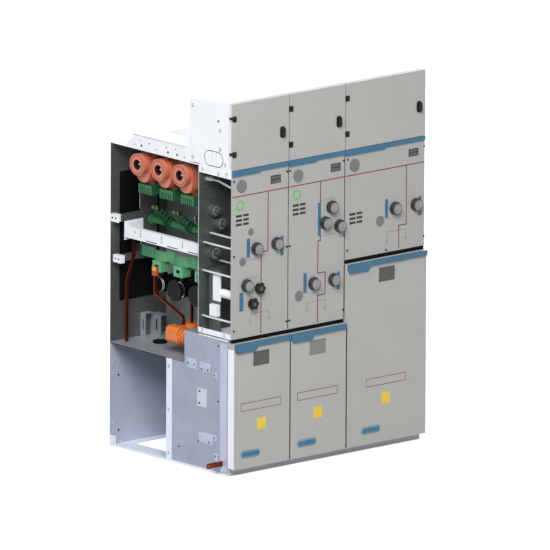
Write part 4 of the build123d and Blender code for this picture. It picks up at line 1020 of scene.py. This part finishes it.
class CABINET_OT_stage(bpy.types.Operator):
    """Floor, lamps, air light and camera"""

    bl_idname = "cabinet.stage"
    bl_label = "Stage"

    def execute(self, context):
        sizes = context.scene.cabinet_stage
        self.floor()
        self.lamp("key_lamp", sizes.key, *KEY_LAMP)
        self.lamp("fill_lamp", sizes.fill, *FILL_LAMP)
        self.air(context.scene, sizes.air)
        self.camera(context.scene, sizes)
        context.scene.view_settings.view_transform = "Standard"
        return {"FINISHED"}

    def floor(self):
        """A pale floor that catches the cabinet's shadow."""
        deselect()
        bpy.ops.mesh.primitive_plane_add(size=FLOOR_SIZE, location=(0, 0, -FLOOR_DROP))
        floor = settle("floor")
        pale = bpy.data.materials.new("pale_floor")
        tree = empty_tree(pale)
        lift = add(tree, "Math", {0: (seen(tree), "Value"), 1: FLOOR_GLOW}, operation="MULTIPLY")
        glow = add(tree, "Emission", {"Color": WHITE, "Strength": (lift, "Value")})
        paint = add(tree, "BsdfDiffuse", {"Color": linear(FLOOR_PAINT)})
        both = add(tree, "AddShader", {0: (glow, "Emission"), 1: (paint, "BSDF")})
        add(tree, "OutputMaterial", {"Surface": (both, "Shader")})
        floor.data.materials.append(pale)

    def lamp(self, name, power, spot, size):
        """A square lamp that looks at the cabinet's middle."""
        bpy.ops.object.light_add(type="AREA", location=spot)
        lamp = bpy.context.object
        lamp.name = name
        lamp.data.energy, lamp.data.size = power, size
        lamp.rotation_mode = "QUATERNION"
        lamp.rotation_quaternion = (LAMP_AIM - Vector(spot)).to_track_quat("-Z", "Y")

    def air(self, scene, strength):
        """Even light from all round, which itself looks white."""
        world = bpy.data.worlds.new("air")
        scene.world = world
        tree = empty_tree(world)
        level = add(tree, "MapRange", {"Value": (seen(tree), "Value"), "To Min": strength, "To Max": 1.0})
        sky = add(tree, "Background", {"Color": WHITE, "Strength": (level, "Result")})
        add(tree, "OutputWorld", {"Surface": (sky, "Background")})

    def camera(self, scene, sizes):
        """A camera so far away that the view is nearly parallel, as the photo's is."""
        bpy.ops.object.camera_add()
        camera = bpy.context.object
        camera.name = "camera"
        camera.data.lens = sizes.lens
        reach = sizes.frame_width * sizes.lens / camera.data.sensor_width
        camera.data.clip_start, camera.data.clip_end = reach - CLIP_NEAR, reach + CLIP_FAR
        turn = Matrix((CAMERA_RIGHT, CAMERA_UP, CAMERA_BACK)).transposed().to_4x4()
        camera.matrix_world = Matrix.Translation(CAMERA_AIM + CAMERA_BACK * reach) @ turn
        scene.camera = camera


class CABINET_PT_panel(bpy.types.Panel):
    """Shows the cabinet's sizes, colours and steps in the sidebar."""

    bl_idname = "CABINET_PT_panel"
    bl_label = "Cabinet"
    bl_space_type = "VIEW_3D"
    bl_region_type = "UI"
    bl_category = "Cabinet"

    def draw(self, context):
        for key in GROUPS:
            sizes = getattr(context.scene, key)
            for name in sizes.bl_rna.properties.keys():
                if name not in ("rna_type", "name"):
                    self.layout.prop(sizes, name)
        for step in STEPS:
            self.layout.operator(step.bl_idname)


STEPS = (CABINET_OT_finishes, CABINET_OT_mimic_lines, CABINET_OT_front_plates, CABINET_OT_screws,
         CABINET_OT_seals, CABINET_OT_sockets, CABINET_OT_door_plates, CABINET_OT_side_fittings,
         CABINET_OT_tank_fittings, CABINET_OT_stage)
GROUPS = {"cabinet_coats": CoatColours, "cabinet_front": FrontSizes, "cabinet_stage": StageSizes}
CLASSES = (*GROUPS.values(), *STEPS, CABINET_PT_panel)


def register():
    for cls in CLASSES:
        bpy.utils.register_class(cls)
    for name, cls in GROUPS.items():
        setattr(bpy.types.Scene, name, PointerProperty(type=cls))


def unregister():
    for name in GROUPS:
        delattr(bpy.types.Scene, name)
    for cls in reversed(CLASSES):
        bpy.utils.unregister_class(cls)


def main():
    """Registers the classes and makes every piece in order."""
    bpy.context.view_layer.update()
    register()
    for step in STEPS:
        group_name, name = step.bl_idname.split(".")
        getattr(getattr(bpy.ops, group_name), name)()


if __name__ == "__main__":
    main()
